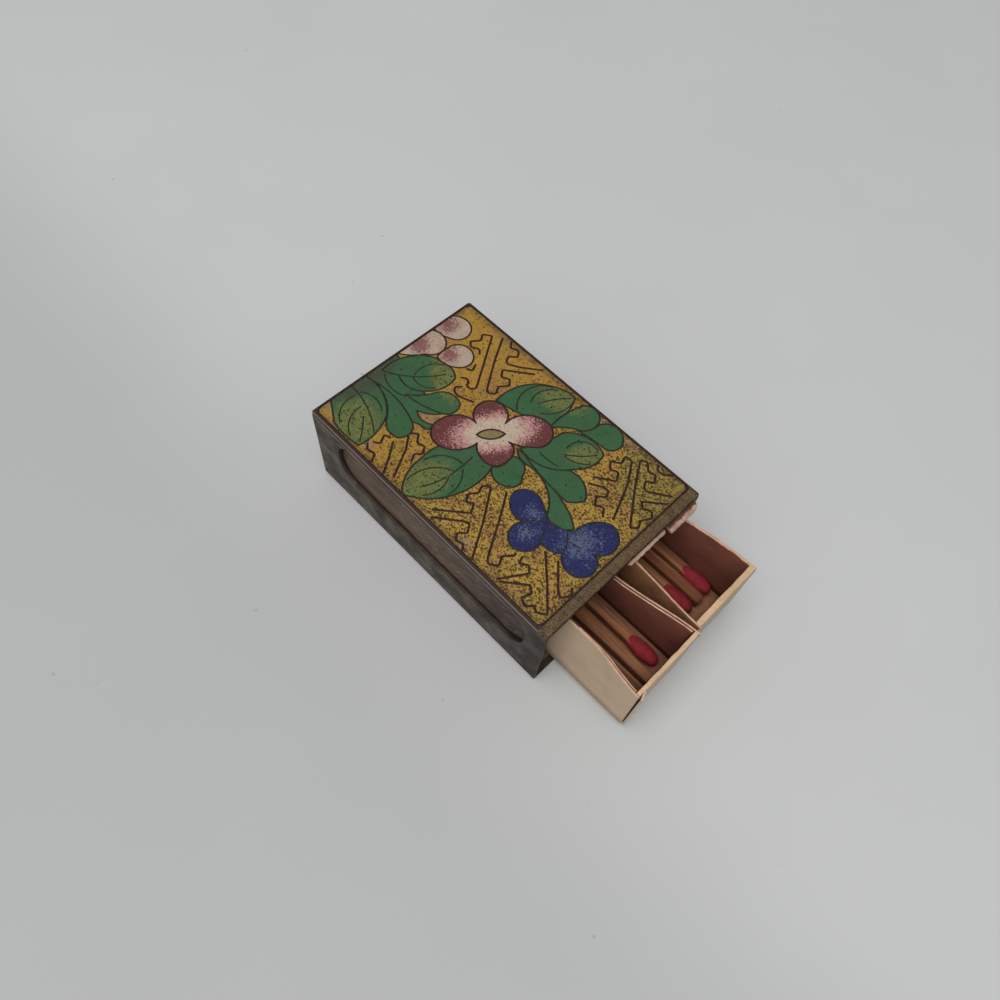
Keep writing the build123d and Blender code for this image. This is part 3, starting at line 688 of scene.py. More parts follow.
def stippled(where, share, spread, softness=0.12):
    """A soft change of colour broken up into grains, as two powders sifted over each other."""
    grains = times(minus(noise_value(where, 0.36 * mm, 2.0, 0.8), 0.5), spread)
    patches = times(minus(noise_value(where, 1.4 * mm, 2.0), 0.5), 0.6)
    return between(plus(share, plus(grains, patches)), 0.5 - softness, 0.5 + softness)


def new_enamel(name):
    """An enamel's finish, with the mild gloss that all of them have."""
    return new_material(name, 0.4, Specular_IOR_Level=0.16)


def fire(shader, where, base, **settings):
    """The shared enamel effect on one colour."""
    glass = place_group(fired_enamel, where, Base=base, **settings)
    cover(shader, glass["Colour"], glass["Height"], 0.02 * mm, glass["Roughness"])


spots, cells = fill_cells()

# Yellow ground: clear gold at the back and thickly specked towards the front, with an olive far
# corner, darker along its edge, and dull patches where the glass has worn away by the edges.
ground_finish, shader, where = new_enamel("yellow_enamel")
place = axes(where)
along = minus(place["X"], times(place["Y"], 0.35))
front_share = stippled(where, between(along, -18 * mm, 22 * mm), 0.8)
gold = blend_colour(front_share, colour(154, 118, 48), colour(160, 129, 58))
orange_places = [
    ((21.3, -7.0), 0, (4.0, 3.0)), ((9.0, -10.0), 30, (4.5, 2.4)), ((17.0, 13.0), 0, (4.0, 4.0)),
]
dark_places = [
    ((23.0, -16.4), 30, (3.4, 2.4)), ((-12.3, -13.7), 0, (2.4, 2.0)), ((12.5, -11.5), 30, (3.0, 1.6)),
]
for places, patch_colour in ((orange_places, colour(166, 124, 54)), (dark_places, colour(126, 110, 46))):
    patch = stippled(where, between(nearest_oval(where, places), 1.5, 0.3), 0.8, 0.3)
    gold = blend_colour(times(patch, 0.4), gold, patch_colour)
cloud = noise_value(where, 5 * mm, 3.0)
gold = blend_colour(between(cloud, 0.45, 0.66, 0, 0.75), gold, colour(136, 102, 58))
corner = between(oval_distance(where, (24, 15.5), 0, (10, 8.5)), 1.3, 0.5)
gold = blend_colour(stippled(where, corner, 0.8), gold, colour(136, 118, 57))
edge_x = minus(math_node("ABSOLUTE", plus(place["X"], 0.8 * mm)), 27.4 * mm)
edge_y = minus(math_node("ABSOLUTE", place["Y"]), 18.45 * mm)
edge_share = times(
    between(math_node("MAXIMUM", edge_x, edge_y), -1.9 * mm, -0.1 * mm),
    between(noise_value(where, 2 * mm), 0.3, 0.6, 0.3, 0.85),
)
gold = blend_colour(edge_share, gold, colour(90, 76, 46))
worn_places = [
    ((-26.2, -15.6), 0, (2.0, 1.6)), ((-16.6, -16.0), 30, (1.3, 0.9)), ((-9.7, -12.3), 20, (0.9, 0.8)),
    ((-13.6, -4.6), 0, (2.6, 1.4)), ((12.8, 17.8), 0, (3.0, 1.6)), ((8.4, -16.8), 0, (1.5, 1.4)),
    ((7.2, 17.6), 0, (1.6, 1.0)), ((0.6, 7.0), 0, (1.2, 1.0)),
]
worn = stippled(where, between(nearest_oval(where, worn_places), 1.3, 0.5), 0.8)
gold = blend_colour(times(worn, 0.7), gold, colour(134, 112, 82))
wear = between(plus(along, times(cloud, 14 * mm)), -16 * mm, 10 * mm, 0.36, 0.72)
fire(
    shader, where, gold, Pit=colour(58, 36, 18), Pit_Spacing=0.55 * mm, Pit_Reach=0.26, Pit_Share=0.35,
    Grain=1.0, Speck_Share=wear,
)
enamel_piece("ground_enamel", "ground", ground_finish)

# Leaves: green, sifted over with olive on the veined leaves, and with painted shade, a darker grey, in the
# near back corner.
leaf_finish, shader, where = new_enamel("green_enamel")
olive_leaves = [
    ((-17.8, 3.0), -20, (5.4, 2.6)), ((-21.6, -14.6), -40, (5.4, 4.4)), ((-5.2, -14.2), 75, (5.6, 3.6)),
    ((-0.6, 15.4), 25, (4.6, 2.8)), ((10.2, 10.2), 50, (3.6, 2.2)),
]
olive_reach = nearest_oval(where, olive_leaves)
olive_share = stippled(where, between(olive_reach, 1.6, 0.2), 1.2, 0.4)
leaf_colour = blend_colour(olive_share, colour(52, 86, 56), colour(97, 104, 57))
# Painted shade: the leaves turn darker grey towards the near back corner.
back_corner_shade = between(oval_distance(where, (-28.0, -7.0), 0, (3.6, 8.0)), 1.3, 0.5)
leaf_colour = blend_colour(times(stippled(where, back_corner_shade, 0.5, 0.3), 0.8), leaf_colour, colour(62, 66, 50))
fire(
    shader, where, leaf_colour, Pit=colour(24, 30, 18), Pit_Spacing=0.8 * mm, Pit_Reach=0.2,
    Pit_Share=0.3, Grain=0.5, Speck_Share=between(olive_reach, 1.6, 0.5, 0.14, 0.5),
)
enamel_piece("leaf_enamel", "leaf", leaf_finish)

# Flower: each petal runs from cream at the heart through sifted rose to dull red at its tip.
petal_finish, shader, where = new_enamel("petal_enamel")
heart = oval_distance(where, (-3.9, 1.7), 58, (8.2, 4.35))
rose_share = stippled(where, between(heart, 0.3, 1.0), 1.7, 0.25)
deep_share = stippled(where, between(heart, 0.55, 1.28), 2.4, 0.2)
rose = blend_colour(deep_share, colour(168, 123, 119), colour(94, 51, 50))
fire(
    shader, where, blend_colour(rose_share, colour(176, 157, 139), rose), Pit=colour(66, 36, 32),
    Pit_Spacing=0.5 * mm, Pit_Reach=0.2, Pit_Share=0.25, Grain=0.8, Speck_Share=0.3,
)
enamel_piece("petal_enamel", "petal", petal_finish)

# Buds: cream with a sifted rose side towards the plate's back.
bud_finish, shader, where = new_enamel("bud_enamel")
rose_sides = [
    ((-21.8, 7.4), 50, (1.9, 2.5)), ((-27.0, 5.0), 50, (2.2, 2.6)), ((-27.0, 12.0), 50, (2.2, 2.4)),
]
blush_share = stippled(where, between(nearest_oval(where, rose_sides), 1.7, -0.1), 2.4, 0.4)
fire(
    shader, where, blend_colour(blush_share, colour(164, 145, 127), colour(120, 78, 76)),
    Pit=colour(84, 56, 48), Pit_Spacing=0.6 * mm, Pit_Reach=0.18, Pit_Share=0.3, Grain=0.5, Speck_Share=0.1,
)
enamel_piece("bud_enamel", "bud", bud_finish)

# Flower's heart: one almond cell of olive enamel.
heart_finish, shader, where = new_enamel("olive_enamel")
fire(
    shader, where, blend_colour(noise_value(where, 0.6 * mm), colour(104, 92, 54), colour(140, 126, 84)),
    Pit=colour(60, 48, 30), Pit_Spacing=0.5 * mm, Pit_Reach=0.15, Pit_Share=0.3, Grain=0.5, Speck_Share=0.15,
)
enamel_piece("heart_enamel", "flower_centre", heart_finish)

# Blossom: deep blue, with pale grains sifted where its lobes meet.
blossom_finish, shader, where = new_enamel("blue_enamel")
pale_spots = [((11.9, -4.7), 20, (2.2, 1.8)), ((13.6, -8.2), 60, (2.5, 2.0)), ((20.8, -3.2), 60, (5.2, 4.5))]
pale_share = stippled(where, between(nearest_oval(where, pale_spots), 1.6, -0.9), 2.4, 0.25)
fire(
    shader, where, blend_colour(times(pale_share, 0.7), colour(33, 36, 78), colour(94, 104, 124)),
    Pit=colour(20, 20, 36), Pit_Spacing=0.5 * mm, Pit_Reach=0.18, Pit_Share=0.25, Grain=0.5, Speck_Share=0.1,
)
enamel_piece("blossom_enamel", "blossom", blossom_finish)

# Cloison wires: flat brass wire bent to each outline and ground flush, now dark brown. Where one
# motif lies under another, its wire stops at the upper one's.
def visible_runs(line, closed, covers):
    """The stretches of a line that lie in the field and under none of the covers."""
    shown = inside(field_line, line)
    for upper in covers:
        shown &= ~inside(upper, line)
    if closed and shown.all():
        return [(list(line), True)]
    if closed:
        first = int(np.argmin(shown))
        line = list(line[first:]) + list(line[:first])
        shown = np.roll(shown, -first)
    runs, run = [], []
    for place, show in zip(line, shown):
        if show:
            run.append(place)
        elif run:
            runs.append(run)
            run = []
    return [(run, False) for run in runs + [run] if len(run) > 2]


def sweep_wire(form, line, closed, width):
    """A bent flat wire with a slightly rounded top, from the pocket's floor up."""
    half = width / 2
    section = [
        (-half, pocket_floor), (-half, enamel_top - 0.01), (-half * 0.72, wire_top - 0.008), (0, wire_top),
        (half * 0.72, wire_top - 0.008), (half, enamel_top - 0.01), (half, pocket_floor),
    ]
    rings = []
    count = len(line)
    for index, place in enumerate(line):
        before = line[index - 1] if closed or index > 0 else place
        after = line[(index + 1) % count] if closed or index + 1 < count else place
        steps = [step.normalized() for step in (place - before, after - place) if step.length > 1e-9]
        across = sum((Vector((-step.y, step.x)) for step in steps), Vector((0, 0))).normalized()
        fit = max(across.dot(Vector((-steps[-1].y, steps[-1].x))), 0.6)
        ring = []
        for reach, level in section:
            spot = place + across * (reach / fit)
            ring.append(form.verts.new(Vector((spot.x, spot.y, level)) * mm))
        rings.append(ring)
    for one, two in list(zip(rings, rings[1:])) + ([(rings[-1], rings[0])] if closed else []):
        for index in range(len(section)):
            after = (index + 1) % len(section)
            face = form.faces.new((one[index], two[index], two[after], one[after]))
            face.smooth = 1 <= index <= 4
    if not closed:
        form.faces.new(rings[0])
        form.faces.new(reversed(rings[-1]))


def wire_piece(name, node, runs, width, finish):
    form = bmesh.new()
    for line, closed in runs:
        sweep_wire(form, line, closed, width)
    piece = finish_form(form, name, "holder", [finish])
    if node:
        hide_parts(node)


def wire_finish(name, dark, light):
    finish, shader, where = new_material(name, 0.5, Metallic=0.2, Specular_IOR_Level=0.25)
    tarnish = between(noise_value(where, 0.8 * mm, 4.0), 0.35, 0.7)
    cover(shader, blend_colour(tarnish, dark, light), noise_value(where, 0.2 * mm), 0.01 * mm)
    return finish


brown_wire = wire_finish("brown_wire", colour(32, 16, 10), colour(58, 32, 18))
green_wire = wire_finish("green_wire", colour(28, 30, 20), colour(48, 44, 28))
rose_wire = wire_finish("rose_wire", colour(28, 14, 14), colour(52, 30, 26))
blue_wire = wire_finish("blue_wire", colour(22, 24, 28), colour(44, 44, 44))


def marked_runs(lines, covers):
    """The shown stretches of lines that are each an arc through three places."""
    runs = []
    for places in lines:
        runs += visible_runs(arc_places(*places) + [Vector(places[2])], False, covers)
    return runs


groups = {}
for index, (name, line) in enumerate(motifs):
    covers = [upper for _, upper in motifs[:index]]
    groups.setdefault(name, []).extend(visible_runs(line, True, covers))
fret_runs = []
for places in fret_lines:
    fret_runs += visible_runs(bent_line(places, fret_corner), False, [line for _, line in motifs])
vein_runs = marked_runs(vein_lines, [line for name, line in motifs if name != "leaf"])
wire_piece("border_wire_run", "border_wire", [(pocket_line(border_inset), True)], border_width, brown_wire)
wire_piece("fret_wire_runs", "fret_wires", fret_runs, fret_width, brown_wire)
wire_piece("leaf_wire_runs", "leaf_wires", groups["leaf"], outline_width, green_wire)
wire_piece("vein_wires", None, vein_runs, vein_width, green_wire)
wire_piece("bud_wire_runs", "bud_wires", groups["bud"], outline_width, brown_wire)
wire_piece("petal_wire_runs", "petal_wires", groups["petal"], outline_width, rose_wire)
wire_piece("heart_wire_run", "flower_centre_wires", groups["flower_centre"], outline_width, rose_wire)
wire_piece("blossom_wire_runs", "blossom_wires", groups["blossom"], outline_width, blue_wire)
wire_piece("blossom_seam_wires", None, marked_runs(seam_lines, []), vein_width, blue_wire)

# Matchbox shell: one card folded into a tube that is open at both ends, printed red-brown outside
# and bare brown inside, glued along a bottom edge. Its front edge is cut clean at the sides and
# torn along the top, where it shows pale pink.
def ease(value, low, high):
    """0 below the low limit, 1 above the high one, and a smooth rise between."""
    share = min(1.0, max(0.0, (value - low) / (high - low)))
    return share * share * (3 - 2 * share)


def wobble(x, y, z, size):
    """Unevenness from -1 to 1, whose waves are about this long in millimetres."""
    return noise.noise(Vector((x, y, z)) / size)


def card_sheet(form, place, columns, levels, outer=0, inner=1, rim=2, ends=2):
    """A sheet of card as a closed solid, with the numbers of its faces', rim's and ends' finishes."""
    rows = len(levels) - 1
    sides = []
    for through in (0, 1):
        grid = []
        for level in levels:
            places = [place(column / columns, level, through) * mm for column in range(columns + 1)]
            grid.append([form.verts.new(spot) for spot in places])
        sides.append(grid)
    for grid, finish in zip(sides, (outer, inner)):
        for row in range(rows):
            for column in range(columns):
                low, high = grid[row], grid[row + 1]
                face = form.faces.new([low[column], low[column + 1], high[column + 1], high[column]])
                face.material_index = finish
                face.smooth = True
    border = [(0, column) for column in range(columns)] + [(row, columns) for row in range(rows)]
    border += [(rows, column) for column in range(columns, 0, -1)]
    border += [(row, 0) for row in range(rows, 0, -1)]
    for (row, column), (next_row, next_column) in zip(border, border[1:] + border[:1]):
        face = form.faces.new([
            sides[0][row][column], sides[0][next_row][next_column],
            sides[1][next_row][next_column], sides[1][row][column],
        ])
        face.material_index = rim if row == next_row else ends


card_fibre, given, made = new_group(
    "card_fibre",
    [
        ("Where", "Vector", None),
        ("Base", "Color", (0.5, 0.5, 0.5, 1)),
        ("Stain", "Color", (0.3, 0.25, 0.2, 1)),
        ("Stain Share", "Float", 0.3),
        ("Fleck", "Float", 0.15),
    ],
    [("Colour", "Color"), ("Height", "Float")],
)
clouds = noise_value(given["Where"], 5 * mm, 4.0)
fibres = noise_value(given["Where"], 0.35 * mm, 4.0, 0.7, stretch=(0.35, 1, 1))
stain = times(between(clouds, 0.4, 0.75), given["Stain Share"])
stained = blend_colour(stain, given["Base"], given["Stain"])
fleck = plus(times(times(minus(fibres, 0.5), given["Fleck"]), 2.0), 1.0)
flecked = add("ShaderNodeVectorMath", {0: stained, "Scale": fleck}, operation="SCALE").outputs[0]
give(made, Colour=flecked, Height=fibres)


def card_finish(name, base, stain, stain_share, fleck):
    finish, shader, where = new_material(name, 0.85)
    card = place_group(card_fibre, where, Base=base, Stain=stain, Stain_Share=stain_share, Fleck=fleck)
    cover(shader, card["Colour"], card["Height"], 0.03 * mm)
    return finish


def printed_finish(name, torn_start):
    """Red-brown print that is torn away, with a ragged margin, in front of a place."""
    finish, shader, where = new_material(name, 0.8, Specular_IOR_Level=0.2)
    printed = place_group(
        card_fibre, where, Base=colour(104, 64, 52), Stain=colour(70, 42, 34), Stain_Share=0.6, Fleck=0.35
    )
    torn = place_group(
        card_fibre, where, Base=colour(184, 152, 136), Stain=colour(120, 84, 70), Stain_Share=0.9, Fleck=0.6
    )
    ragged = times(noise_value(where, 0.8 * mm, 3.0), 0.9 * mm)
    margin = (torn_start + 0.45) * mm
    torn_share = between(plus(axes(where)["X"], ragged), margin, margin + 0.25 * mm)
    card = blend_colour(torn_share, printed["Colour"], torn["Colour"])
    cover(shader, card, printed["Height"], 0.03 * mm)
    return finish


bare_card = card_finish("bare_card", colour(92, 74, 60), colour(66, 52, 42), 0.5, 0.2)
torn_card = card_finish("torn_card", colour(184, 152, 136), colour(130, 92, 78), 0.8, 0.6)
printed_card = printed_finish("printed_card", 28.2)
shell_half = 17.75
shell_bottom, shell_top = 1.0, 19.2
shell_fold = 0.7
shell_card = 0.4
shell_back, shell_front = -28.0, 27.4
shell_columns = 420
tear_start = 0.8
tear_reach = 1.45
step_start, step_end, step_back = 9.8, 10.4, 0.9
torn_depth = 1.0


def shell_section(share, through):
    """A place round the shell's section, as (y, z), from the glued bottom edge and back to it."""
    inset = shell_card * through
    radius = shell_fold - inset * 0.75
    half, low, high = shell_half - inset, shell_bottom + inset, shell_top - inset
    corners = [(-half, low), (-half, high), (half, high), (half, low)]
    width, tall = 2 * half, high - low
    away = share * 2 * (width + tall)
    for index, length in enumerate((tall, width, tall, width)):
        if away <= length or index == 3:
            (y0, z0), (y1, z1) = corners[index], corners[(index + 1) % 4]
            y = y0 + (y1 - y0) * away / length
            z = z0 + (z1 - z0) * away / length
            break
        away -= length
    if half - abs(y) < radius and min(z - low, high - z) < radius:
        fold_z = low + radius if z < (low + high) / 2 else high - radius
        fold = Vector((math.copysign(half - radius, y), fold_z))
        return tuple(fold + (Vector((y, z)) - fold).normalized() * radius)
    return y, z


def shell_place(share, level, through):
    y, z = shell_section(share, through)
    front = shell_front
    if z > shell_top - torn_depth:
        reach = 0.1 + tear_reach * ease(y, tear_start - 0.6, tear_start + 0.4)
        reach -= step_back * ease(y, step_start, step_end)
        reach += 0.16 * wobble(y, 3.0, 0, 0.7) + 0.07 * wobble(y, 9.0, 5 * through, 0.25)
        front += reach * ease(z, shell_top - torn_depth, shell_top - torn_depth / 2)
    return Vector((shell_back + (front - shell_back) * level, y, z))


form = bmesh.new()
card_sheet(form, shell_place, shell_columns, [0, 0.02, 0.25, 0.5, 0.75, 0.96, 0.985, 1])
# Painted shade: the cut ends below the torn top take the dark printed finish, not the pale torn card,
# because they stand in the sleeve's shade.
for face in form.faces:
    if face.material_index == 2 and face.calc_center_median().z < (shell_top - torn_depth) * mm:
        face.material_index = 0
shell = finish_form(form, "folded_shell", "matchbox_shell", [printed_card, bare_card, torn_card])
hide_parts("matchbox_shell")

# Torn layer: the top card's split outer layer, thick and curled, stands out past the plate at the
# shell's far front corner. It shows its print on top and its pale torn rim in front.
printed_layer = printed_finish("printed_layer", 28.85)
layer_near, layer_far = 10.7, 18.0
layer_back, layer_front = 27.2, 29.5
layer_thickness = 0.7


def layer_place(share, level, through):
    y = layer_near + (layer_far - layer_near) * share
    front = layer_front + 0.14 * wobble(y, 1.0, 0, 1.1) + 0.06 * wobble(y, 2.0, through, 0.3)
    front -= 0.35 * ease(y, layer_far - 0.8, layer_far)
    x = layer_back + (front - layer_back) * level
    curl = 0.35 * ease(level, 0.5, 1.0) ** 2
    lift = 0.05 * wobble(x, y, 4.0, 0.8)
    thickness = layer_thickness * (0.6 + 0.4 * ease(level, 0.2, 0.8)) - 0.25 * ease(level, 0.9, 1.0)
    z = shell_top + 0.35 - curl + lift - thickness * through
    return Vector((x + 0.18 * through * ease(level, 0.8, 1.0), y, z))


form = bmesh.new()
card_sheet(form, layer_place, 60, [0, 0.3, 0.5, 0.6, 0.7, 0.8, 0.88, 0.94, 0.975, 1])
torn_layer = finish_form(form, "torn_layer", "matchbox_shell", [printed_layer, torn_card, torn_card])

# Striker strips: abrasive paper on the box's long sides, grey-brown and scratched by many
# matches, with dark specks where the coating has chipped.
striker_finish, shader, where = new_material("striker_paper", 0.8)
clouds = between(noise_value(where, 3 * mm, 4.0, stretch=(0.4, 1, 1)), 0.35, 0.65)
base = blend_colour(clouds, colour(78, 59, 48), colour(100, 80, 66))
strip_x = axes(where)["X"]
base = blend_colour(between(strip_x, 2 * mm, 22 * mm, 0, 0.9), base, colour(50, 38, 33))
rubbing = between(strip_x, -16 * mm, -2 * mm, 0.1, 0.75)
slant = {"Vector": where, "Rotation": (0, math.radians(24), 0)}
slanted = add("ShaderNodeMapping", slant, vector_type="POINT").outputs["Vector"]
scratch = noise_value(slanted, 0.3 * mm, 4.0, 0.65, stretch=(0.12, 1, 1))
scratched = blend_colour(times(between(scratch, 0.54, 0.68), rubbing), base, colour(136, 120, 106))
grit = noise_value(where, 0.35 * mm, 4.0, 0.8)
specks = times(between(grit, 0.58, 0.68), between(noise_value(where, 6 * mm), 0.4, 0.6, 0.25, 1))
cover(shader, blend_colour(specks, scratched, colour(40, 33, 30)), plus(grit, scratch), 0.06 * mm)
for node in ("near_striker_strip", "far_striker_strip"):
    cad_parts[node].material_slots[0].material = striker_finish

# Trays: thin card folded into open boxes, cream outside and dark red-brown inside, with pale
# peach where the card is cut. The front walls are folded over double, and the long walls lean
# and bow where the shell has squeezed them.
brown_card = card_finish("brown_card", colour(134, 78, 60), colour(106, 58, 44), 0.6, 0.2)
cut_card = card_finish("cut_card", colour(192, 156, 130), colour(160, 122, 96), 0.7, 0.3)
tray_finishes = [
    card_finish("cream_card", colour(184, 162, 136), colour(162, 140, 112), 0.5, 0.1),
    brown_card,
    cut_card,
    card_finish("floor_card", colour(168, 120, 88), colour(128, 84, 60), 0.6, 0.2),
    # Painted shade: a darker, browner card for the outer face of the right tray's near wall, standing for
    # shade and brown reflected light between the trays.
    card_finish("shaded_brown_card", colour(144, 98, 64), colour(92, 62, 42), 0.7, 0.2),
    # Painted shadow: a near-black card for the folded fronts' cut ends and the corner flap's inner face,
    # where the gaps lie in shade.
    card_finish("painted_shadow_card", colour(34, 22, 18), colour(26, 18, 14), 0.6, 0.2),
    card_finish("folded_card", colour(198, 167, 132), colour(172, 141, 106), 0.7, 0.3),
]
cream_card, floor_card, shaded_brown_card, painted_shadow_card, folded_card = 0, 3, 4, 5, 6    # numbers in that list
tray_back, tray_front = -9.8, 44.2
tray_foot, tray_top = 1.65, 17.25
floor_thickness = 0.45
wall_step = 0.4
wall_levels = [0, 0.15, 0.3, 0.45, 0.6, 0.72, 0.82, 0.9, 0.95, 0.98, 1]


def tray_wall(form, start, end, thickness, lean, ragged, foot=tray_foot, cut_back=0.0, outer=0):
    """A wall on the line between two corners of its outer face, with its inner face to the left.
    Its end may be cut back at the top."""
    start, end = Vector(start), Vector(end)
    along = (end - start).normalized()
    inward = Vector((-along.y, along.x))
    columns = max(12, round((end - start).length / wall_step))

    def place(share, level, through):
        spot = start.lerp(end, share)
        spot -= along * cut_back * level * ease(share, 0.9, 1.0)
        top = ease(level, 0.9, 1.0)
        unevenness = 0.6 * wobble(spot.x, spot.y, 3.0, 1.6) + 0.4 * wobble(spot.x, spot.y, 8.0, 0.45)
        fray = ragged * top * unevenness
        split = ragged * top * wobble(spot.x, spot.y, 20.0 * through, 0.6) * 0.8
        reach = thickness * through + lean(spot) * level ** 1.3 + split * (1 if through else -0.8)
        spot = spot + inward * reach
        return Vector((spot.x, spot.y, foot + (tray_top - 0.12 - foot) * level + fray))

    card_sheet(form, place, columns, wall_levels, outer=outer)


def tray_floor(form, x0, x1, y0, y1):
    def place(share, level, through):
        x, y = x0 + (x1 - x0) * share, y0 + (y1 - y0) * level
        return Vector((x, y, tray_foot + floor_thickness * through))

    card_sheet(form, place, 24, [0, 0.25, 0.5, 0.75, 1], inner=floor_card)


def upright(spot):
    return 0.0


def folded_front(form, y0, y1, front=tray_front, thickness=0.97):
    """The double front wall, whose top is the rounded fold of the card."""
    def place(share, level, through):
        y = y0 + (y1 - y0) * share
        top = ease(level, 0.93, 1.0)
        fray = 0.1 * top * (wobble(y, 5.0, 2.0, 1.3) + 0.7 * wobble(y, 5.0, 9.0, 0.4))
        round_in = 0.16 * top
        x = front - 0.08 + (-round_in if not through else round_in - thickness)
        x += 0.09 * wobble(y, 7.0 * through, 1.0, 1.7) * level
        return Vector((x, y, tray_foot + (tray_top - 0.1 - tray_foot) * level + fray))

    # Painted shadow: the wall's cut ends are near black, for the dark gaps at its sides.
    card_sheet(form, place, 42, wall_levels, rim=folded_card, ends=painted_shadow_card)


left_near, left_far = -13.9, 1.3
right_near, right_far = 1.9, 17.1
thin_card = 0.28


def left_near_lean(spot):
    return 1.35 * ease(spot.x, -9, 2) * (1 - ease(spot.x, 33, 43.6))


def left_far_lean(spot):
    return 2.6 * ease(spot.x, -9, 2) * (1 - ease(spot.x, 26, 46) / ease(44.2, 26, 46))


def right_near_lean(spot):
    return 1.15 * ease(spot.x, -9, 2) * (1 - ease(spot.x, 26, 44))


def right_far_lean(spot):
    return 2.4 * ease(spot.x, -9, 2) * (1 - ease(spot.x, 20, 41)) - 0.12 * ease(spot.x, 38.5, 43.5)


def ply_lean(spot):
    """The near wall's inner ply has split off near the front, and stands away at the top."""
    return left_near_lean(spot) + 0.2 * ease(spot.x, 32, 38)


# Left tray: its near wall's end is cut back at the top, with the split ply inside it, and its far
# wall bows in.
form = bmesh.new()
tray_floor(form, tray_back + 0.05, tray_front - 1.0, left_near + 0.05, left_far - 0.05)
tray_wall(
    form, (tray_back, left_near), (tray_front - 0.05, left_near), thin_card, left_near_lean, 0.1,
    cut_back=0.15,
)
tray_wall(form, (tray_front - 0.1, left_far), (tray_back, left_far), thin_card, left_far_lean, 0.07)
tray_wall(form, (tray_back, left_far - 0.3), (tray_back, left_near + 0.3), thin_card, upright, 0.05)
folded_front(form, left_near + 0.3, left_far - 0.3)
ply_y = left_near + thin_card + 0.02
tray_wall(form, (30, ply_y), (43.1, ply_y), 0.13, ply_lean, 0.06, foot=tray_foot + floor_thickness)
left_tray = finish_form(form, "left_tray_card", "left_tray", tray_finishes)
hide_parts("left_tray")

# Liner: a second sheet of the same card, folded in against the left tray's far wall.
def liner_lean(spot):
    return left_far_lean(spot) + 0.02


form = bmesh.new()
tray_wall(
    form, (tray_front - 1.2, left_far - 0.5), (tray_back + 0.6, left_far - 0.5), 0.25, liner_lean, 0.08,
    foot=tray_foot + floor_thickness,
)
liner = finish_form(form, "left_tray_liner_card", "left_tray", [brown_card, brown_card, cut_card])
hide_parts("left_tray_liner")

# Corner flap: the outer layer of the left tray's front, which runs on past the near wall's cut end
# and stands a little off it, with a dark gap behind; its inner face is near black, as painted shadow in the
# gap.
flap_near, flap_far = -13.88, -12.3
flap_foot, flap_height = 1.75, 15.38
flap_card = 0.38


def flap_place(share, level, through):
    y = flap_near + (flap_far - flap_near) * share
    z = flap_foot + flap_height * level
    spring = 0.55 * (1 - ease(y, flap_near - 0.4, flap_far))
    x = tray_front - 0.3 + spring + 0.02 * wobble(y, z, 2.0, 2.0)
    return Vector((x if through else x + flap_card, y, z))


form = bmesh.new()
card_sheet(form, flap_place, 14, [0, 0.2, 0.4, 0.6, 0.8, 0.94, 1], inner=painted_shadow_card, ends=cream_card)
flap = finish_form(form, "left_tray_flap_card", "left_tray", tray_finishes)
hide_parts("left_tray_corner_flap")

# Right tray: pushed in a little further than the left one. Its near wall's outer face is a darker
# brown, as painted shade and painted brown reflected light from the tray beside it, and its thicker
# far wall leans in where the shell has squeezed it.
right_front = tray_front - 0.68
form = bmesh.new()
tray_floor(form, tray_back + 0.05, right_front - 1.2, right_near + 0.05, right_far - 0.05)
tray_wall(
    form, (tray_back, right_near), (right_front - 0.1, right_near), thin_card, right_near_lean, 0.1,
    outer=shaded_brown_card,
)
tray_wall(form, (right_front - 0.05, right_far), (tray_back, right_far), 0.48, right_far_lean, 0.2)
tray_wall(form, (tray_back, right_far - 0.3), (tray_back, right_near + 0.3), thin_card, upright, 0.05)
folded_front(form, right_near + 0.3, right_far - 0.15, right_front, 1.25)
right_tray = finish_form(form, "right_tray_card", "right_tray", tray_finishes)
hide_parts("right_tray")

# Match sticks: split aspen, square, each a little bent and uneven, with grain along its length.
wood_finish, shader, where = new_material("match_wood", 0.7)
grain = noise_value(where, 0.3 * mm, 4.0, 0.65, stretch=(0.03, 1, 1))
streaks = noise_value(where, 2.2 * mm, 2.0, 0.5, stretch=(0.06, 1, 1))
wood = blend_colour(between(streaks, 0.38, 0.62), colour(124, 72, 42), colour(158, 104, 64))
wood = blend_colour(between(grain, 0.46, 0.66, 0, 0.85), wood, colour(92, 54, 34))
cover(shader, wood, grain, 0.06 * mm)
stick_steps = 60
stick_corner = 0.13


def islands(node):
    """The box of each separate solid in a CAD node, in millimetres."""
    source = bmesh.new()
    source.from_mesh(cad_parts[node].data)
    bmesh.ops.remove_doubles(source, verts=source.verts, dist=0.001 * mm)
    left = set(source.verts)
    boxes = []
    while left:
        stack, found = [left.pop()], []
        while stack:
            vert = stack.pop()
            found.append(vert.co.copy() / mm)
            for edge in vert.link_edges:
                other = edge.other_vert(vert)
                if other in left:
                    left.remove(other)
                    stack.append(other)
        low = Vector([min(p[axis] for p in found) for axis in range(3)])
        high = Vector([max(p[axis] for p in found) for axis in range(3)])
        boxes.append((low, high))
    source.free()
    return sorted(boxes, key=lambda box: -box[0].y)


def closed_tube(form, rings):
    """A tube through rings of places, closed by a face at each end."""
    made_rings = [[form.verts.new(place * mm) for place in ring] for ring in rings]
    count = len(rings[0])
    for one, two in zip(made_rings, made_rings[1:]):
        for index in range(count):
            after = (index + 1) % count
            form.faces.new((one[index], one[after], two[after], two[index])).smooth = True
    form.faces.new(list(reversed(made_rings[0])))
    form.faces.new(made_rings[-1])


def square_ring(half, corner):
    """A square with rounded corners, as places from its centre."""
    ring = []
    for turn in range(4):
        for step in range(5):
            angle = math.radians(90 * turn + 22.5 * step)
            middle = Vector((half - corner, half - corner))
            middle.rotate(Matrix.Rotation(math.radians(90 * turn), 2))
            ring.append(middle + corner * Vector((math.cos(angle), math.sin(angle))))
    return ring


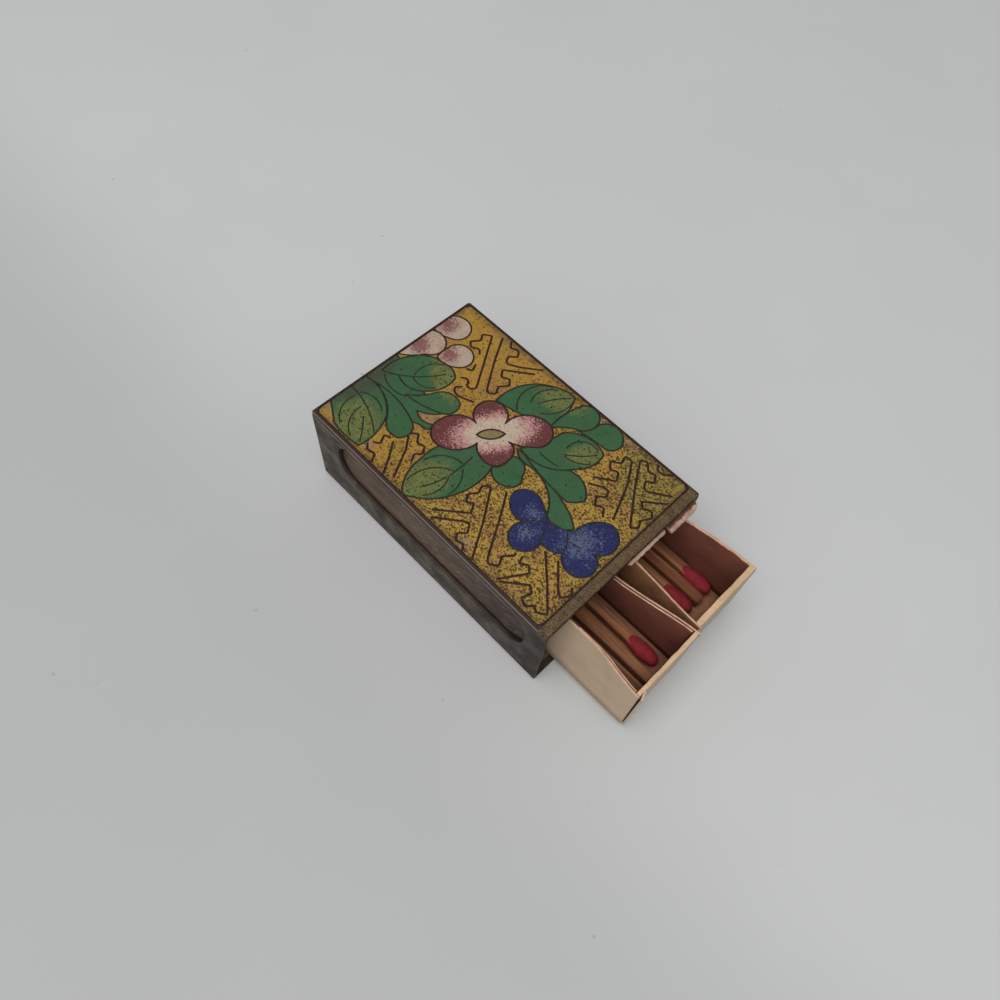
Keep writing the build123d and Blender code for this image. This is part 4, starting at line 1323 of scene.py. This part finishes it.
def match_sticks(name, node, body):
    form = bmesh.new()
    for index, (low, high) in enumerate(islands(node)):
        centre = (low + high) / 2
        half = (high.z - low.z) / 2
        rings = []
        for step in range(stick_steps + 1):
            x = low.x + (high.x - low.x) * step / stick_steps
            drift = Vector((wobble(x, index * 7.0, 1.0, 14), wobble(x, index * 7.0, 5.0, 14))) * 0.07
            size = half * (0.965 + 0.02 * wobble(x, index * 3.0, 2.0, 6))
            ring = []
            for number, spot in enumerate(square_ring(size, stick_corner)):
                rough = 0.02 * wobble(x * 0.15, number * 1.7, index * 5.0, 0.8)
                y = centre.y + spot.x + drift.x + rough
                z = centre.z + spot.y + drift.y + rough
                ring.append(Vector((x, y, z)))
            rings.append(ring)
        closed_tube(form, rings)
    piece = finish_form(form, name, body, [wood_finish])
    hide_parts(node)


match_sticks("left_sticks", "left_match_sticks", "left_tray")
match_sticks("right_sticks", "right_match_sticks", "right_tray")

# Match heads: each a dipped bulb of dull red paste, round at its tip and a little lumpy.
head_finish, shader, where = new_material("match_head", 0.75)
lumps = noise_value(where, 1.4 * mm, 3.0)
grit = noise_value(where, 0.16 * mm, 3.0, 0.7)
red = blend_colour(between(lumps, 0.35, 0.7), colour(130, 24, 33), colour(152, 34, 42))
red = blend_colour(between(grit, 0.6, 0.75, 0, 0.7), red, colour(84, 16, 22))
cover(shader, red, plus(grit, lumps), 0.12 * mm)
front_half = 20.0
head_sides = 28
head_profile = [
    (0, 0.66), (0.03, 0.78), (0.12, 0.85), (0.3, 0.94), (0.5, 1.0), (0.68, 0.97), (0.8, 0.88), (0.88, 0.76),
    (0.94, 0.6), (0.98, 0.38), (0.998, 0.12),
]


def match_heads(name, node, body):
    form = bmesh.new()
    for index, (low, high) in enumerate(islands(node)):
        centre = (low + high) / 2
        reach = min(high.z - low.z, high.y - low.y) / 2
        tip_in_front = centre.x > front_half
        rings = []
        for share, fullness in head_profile:
            x = low.x + (high.x - low.x) * (share if tip_in_front else 1 - share)
            ring = []
            for step in range(head_sides):
                angle = math.tau * step / head_sides
                lump = 0.965 + 0.03 * wobble(x, math.cos(angle) * 3 + index * 9, math.sin(angle) * 3, 2.4)
                radius = reach * fullness * lump
                y = centre.y + radius * math.cos(angle)
                z = centre.z + radius * math.sin(angle)
                ring.append(Vector((x, y, z)))
            rings.append(ring)
        closed_tube(form, rings)
    piece = finish_form(form, name, body, [head_finish])
    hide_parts(node)


match_heads("left_heads", "left_match_heads", "left_tray")
match_heads("right_heads", "right_match_heads", "right_tray")
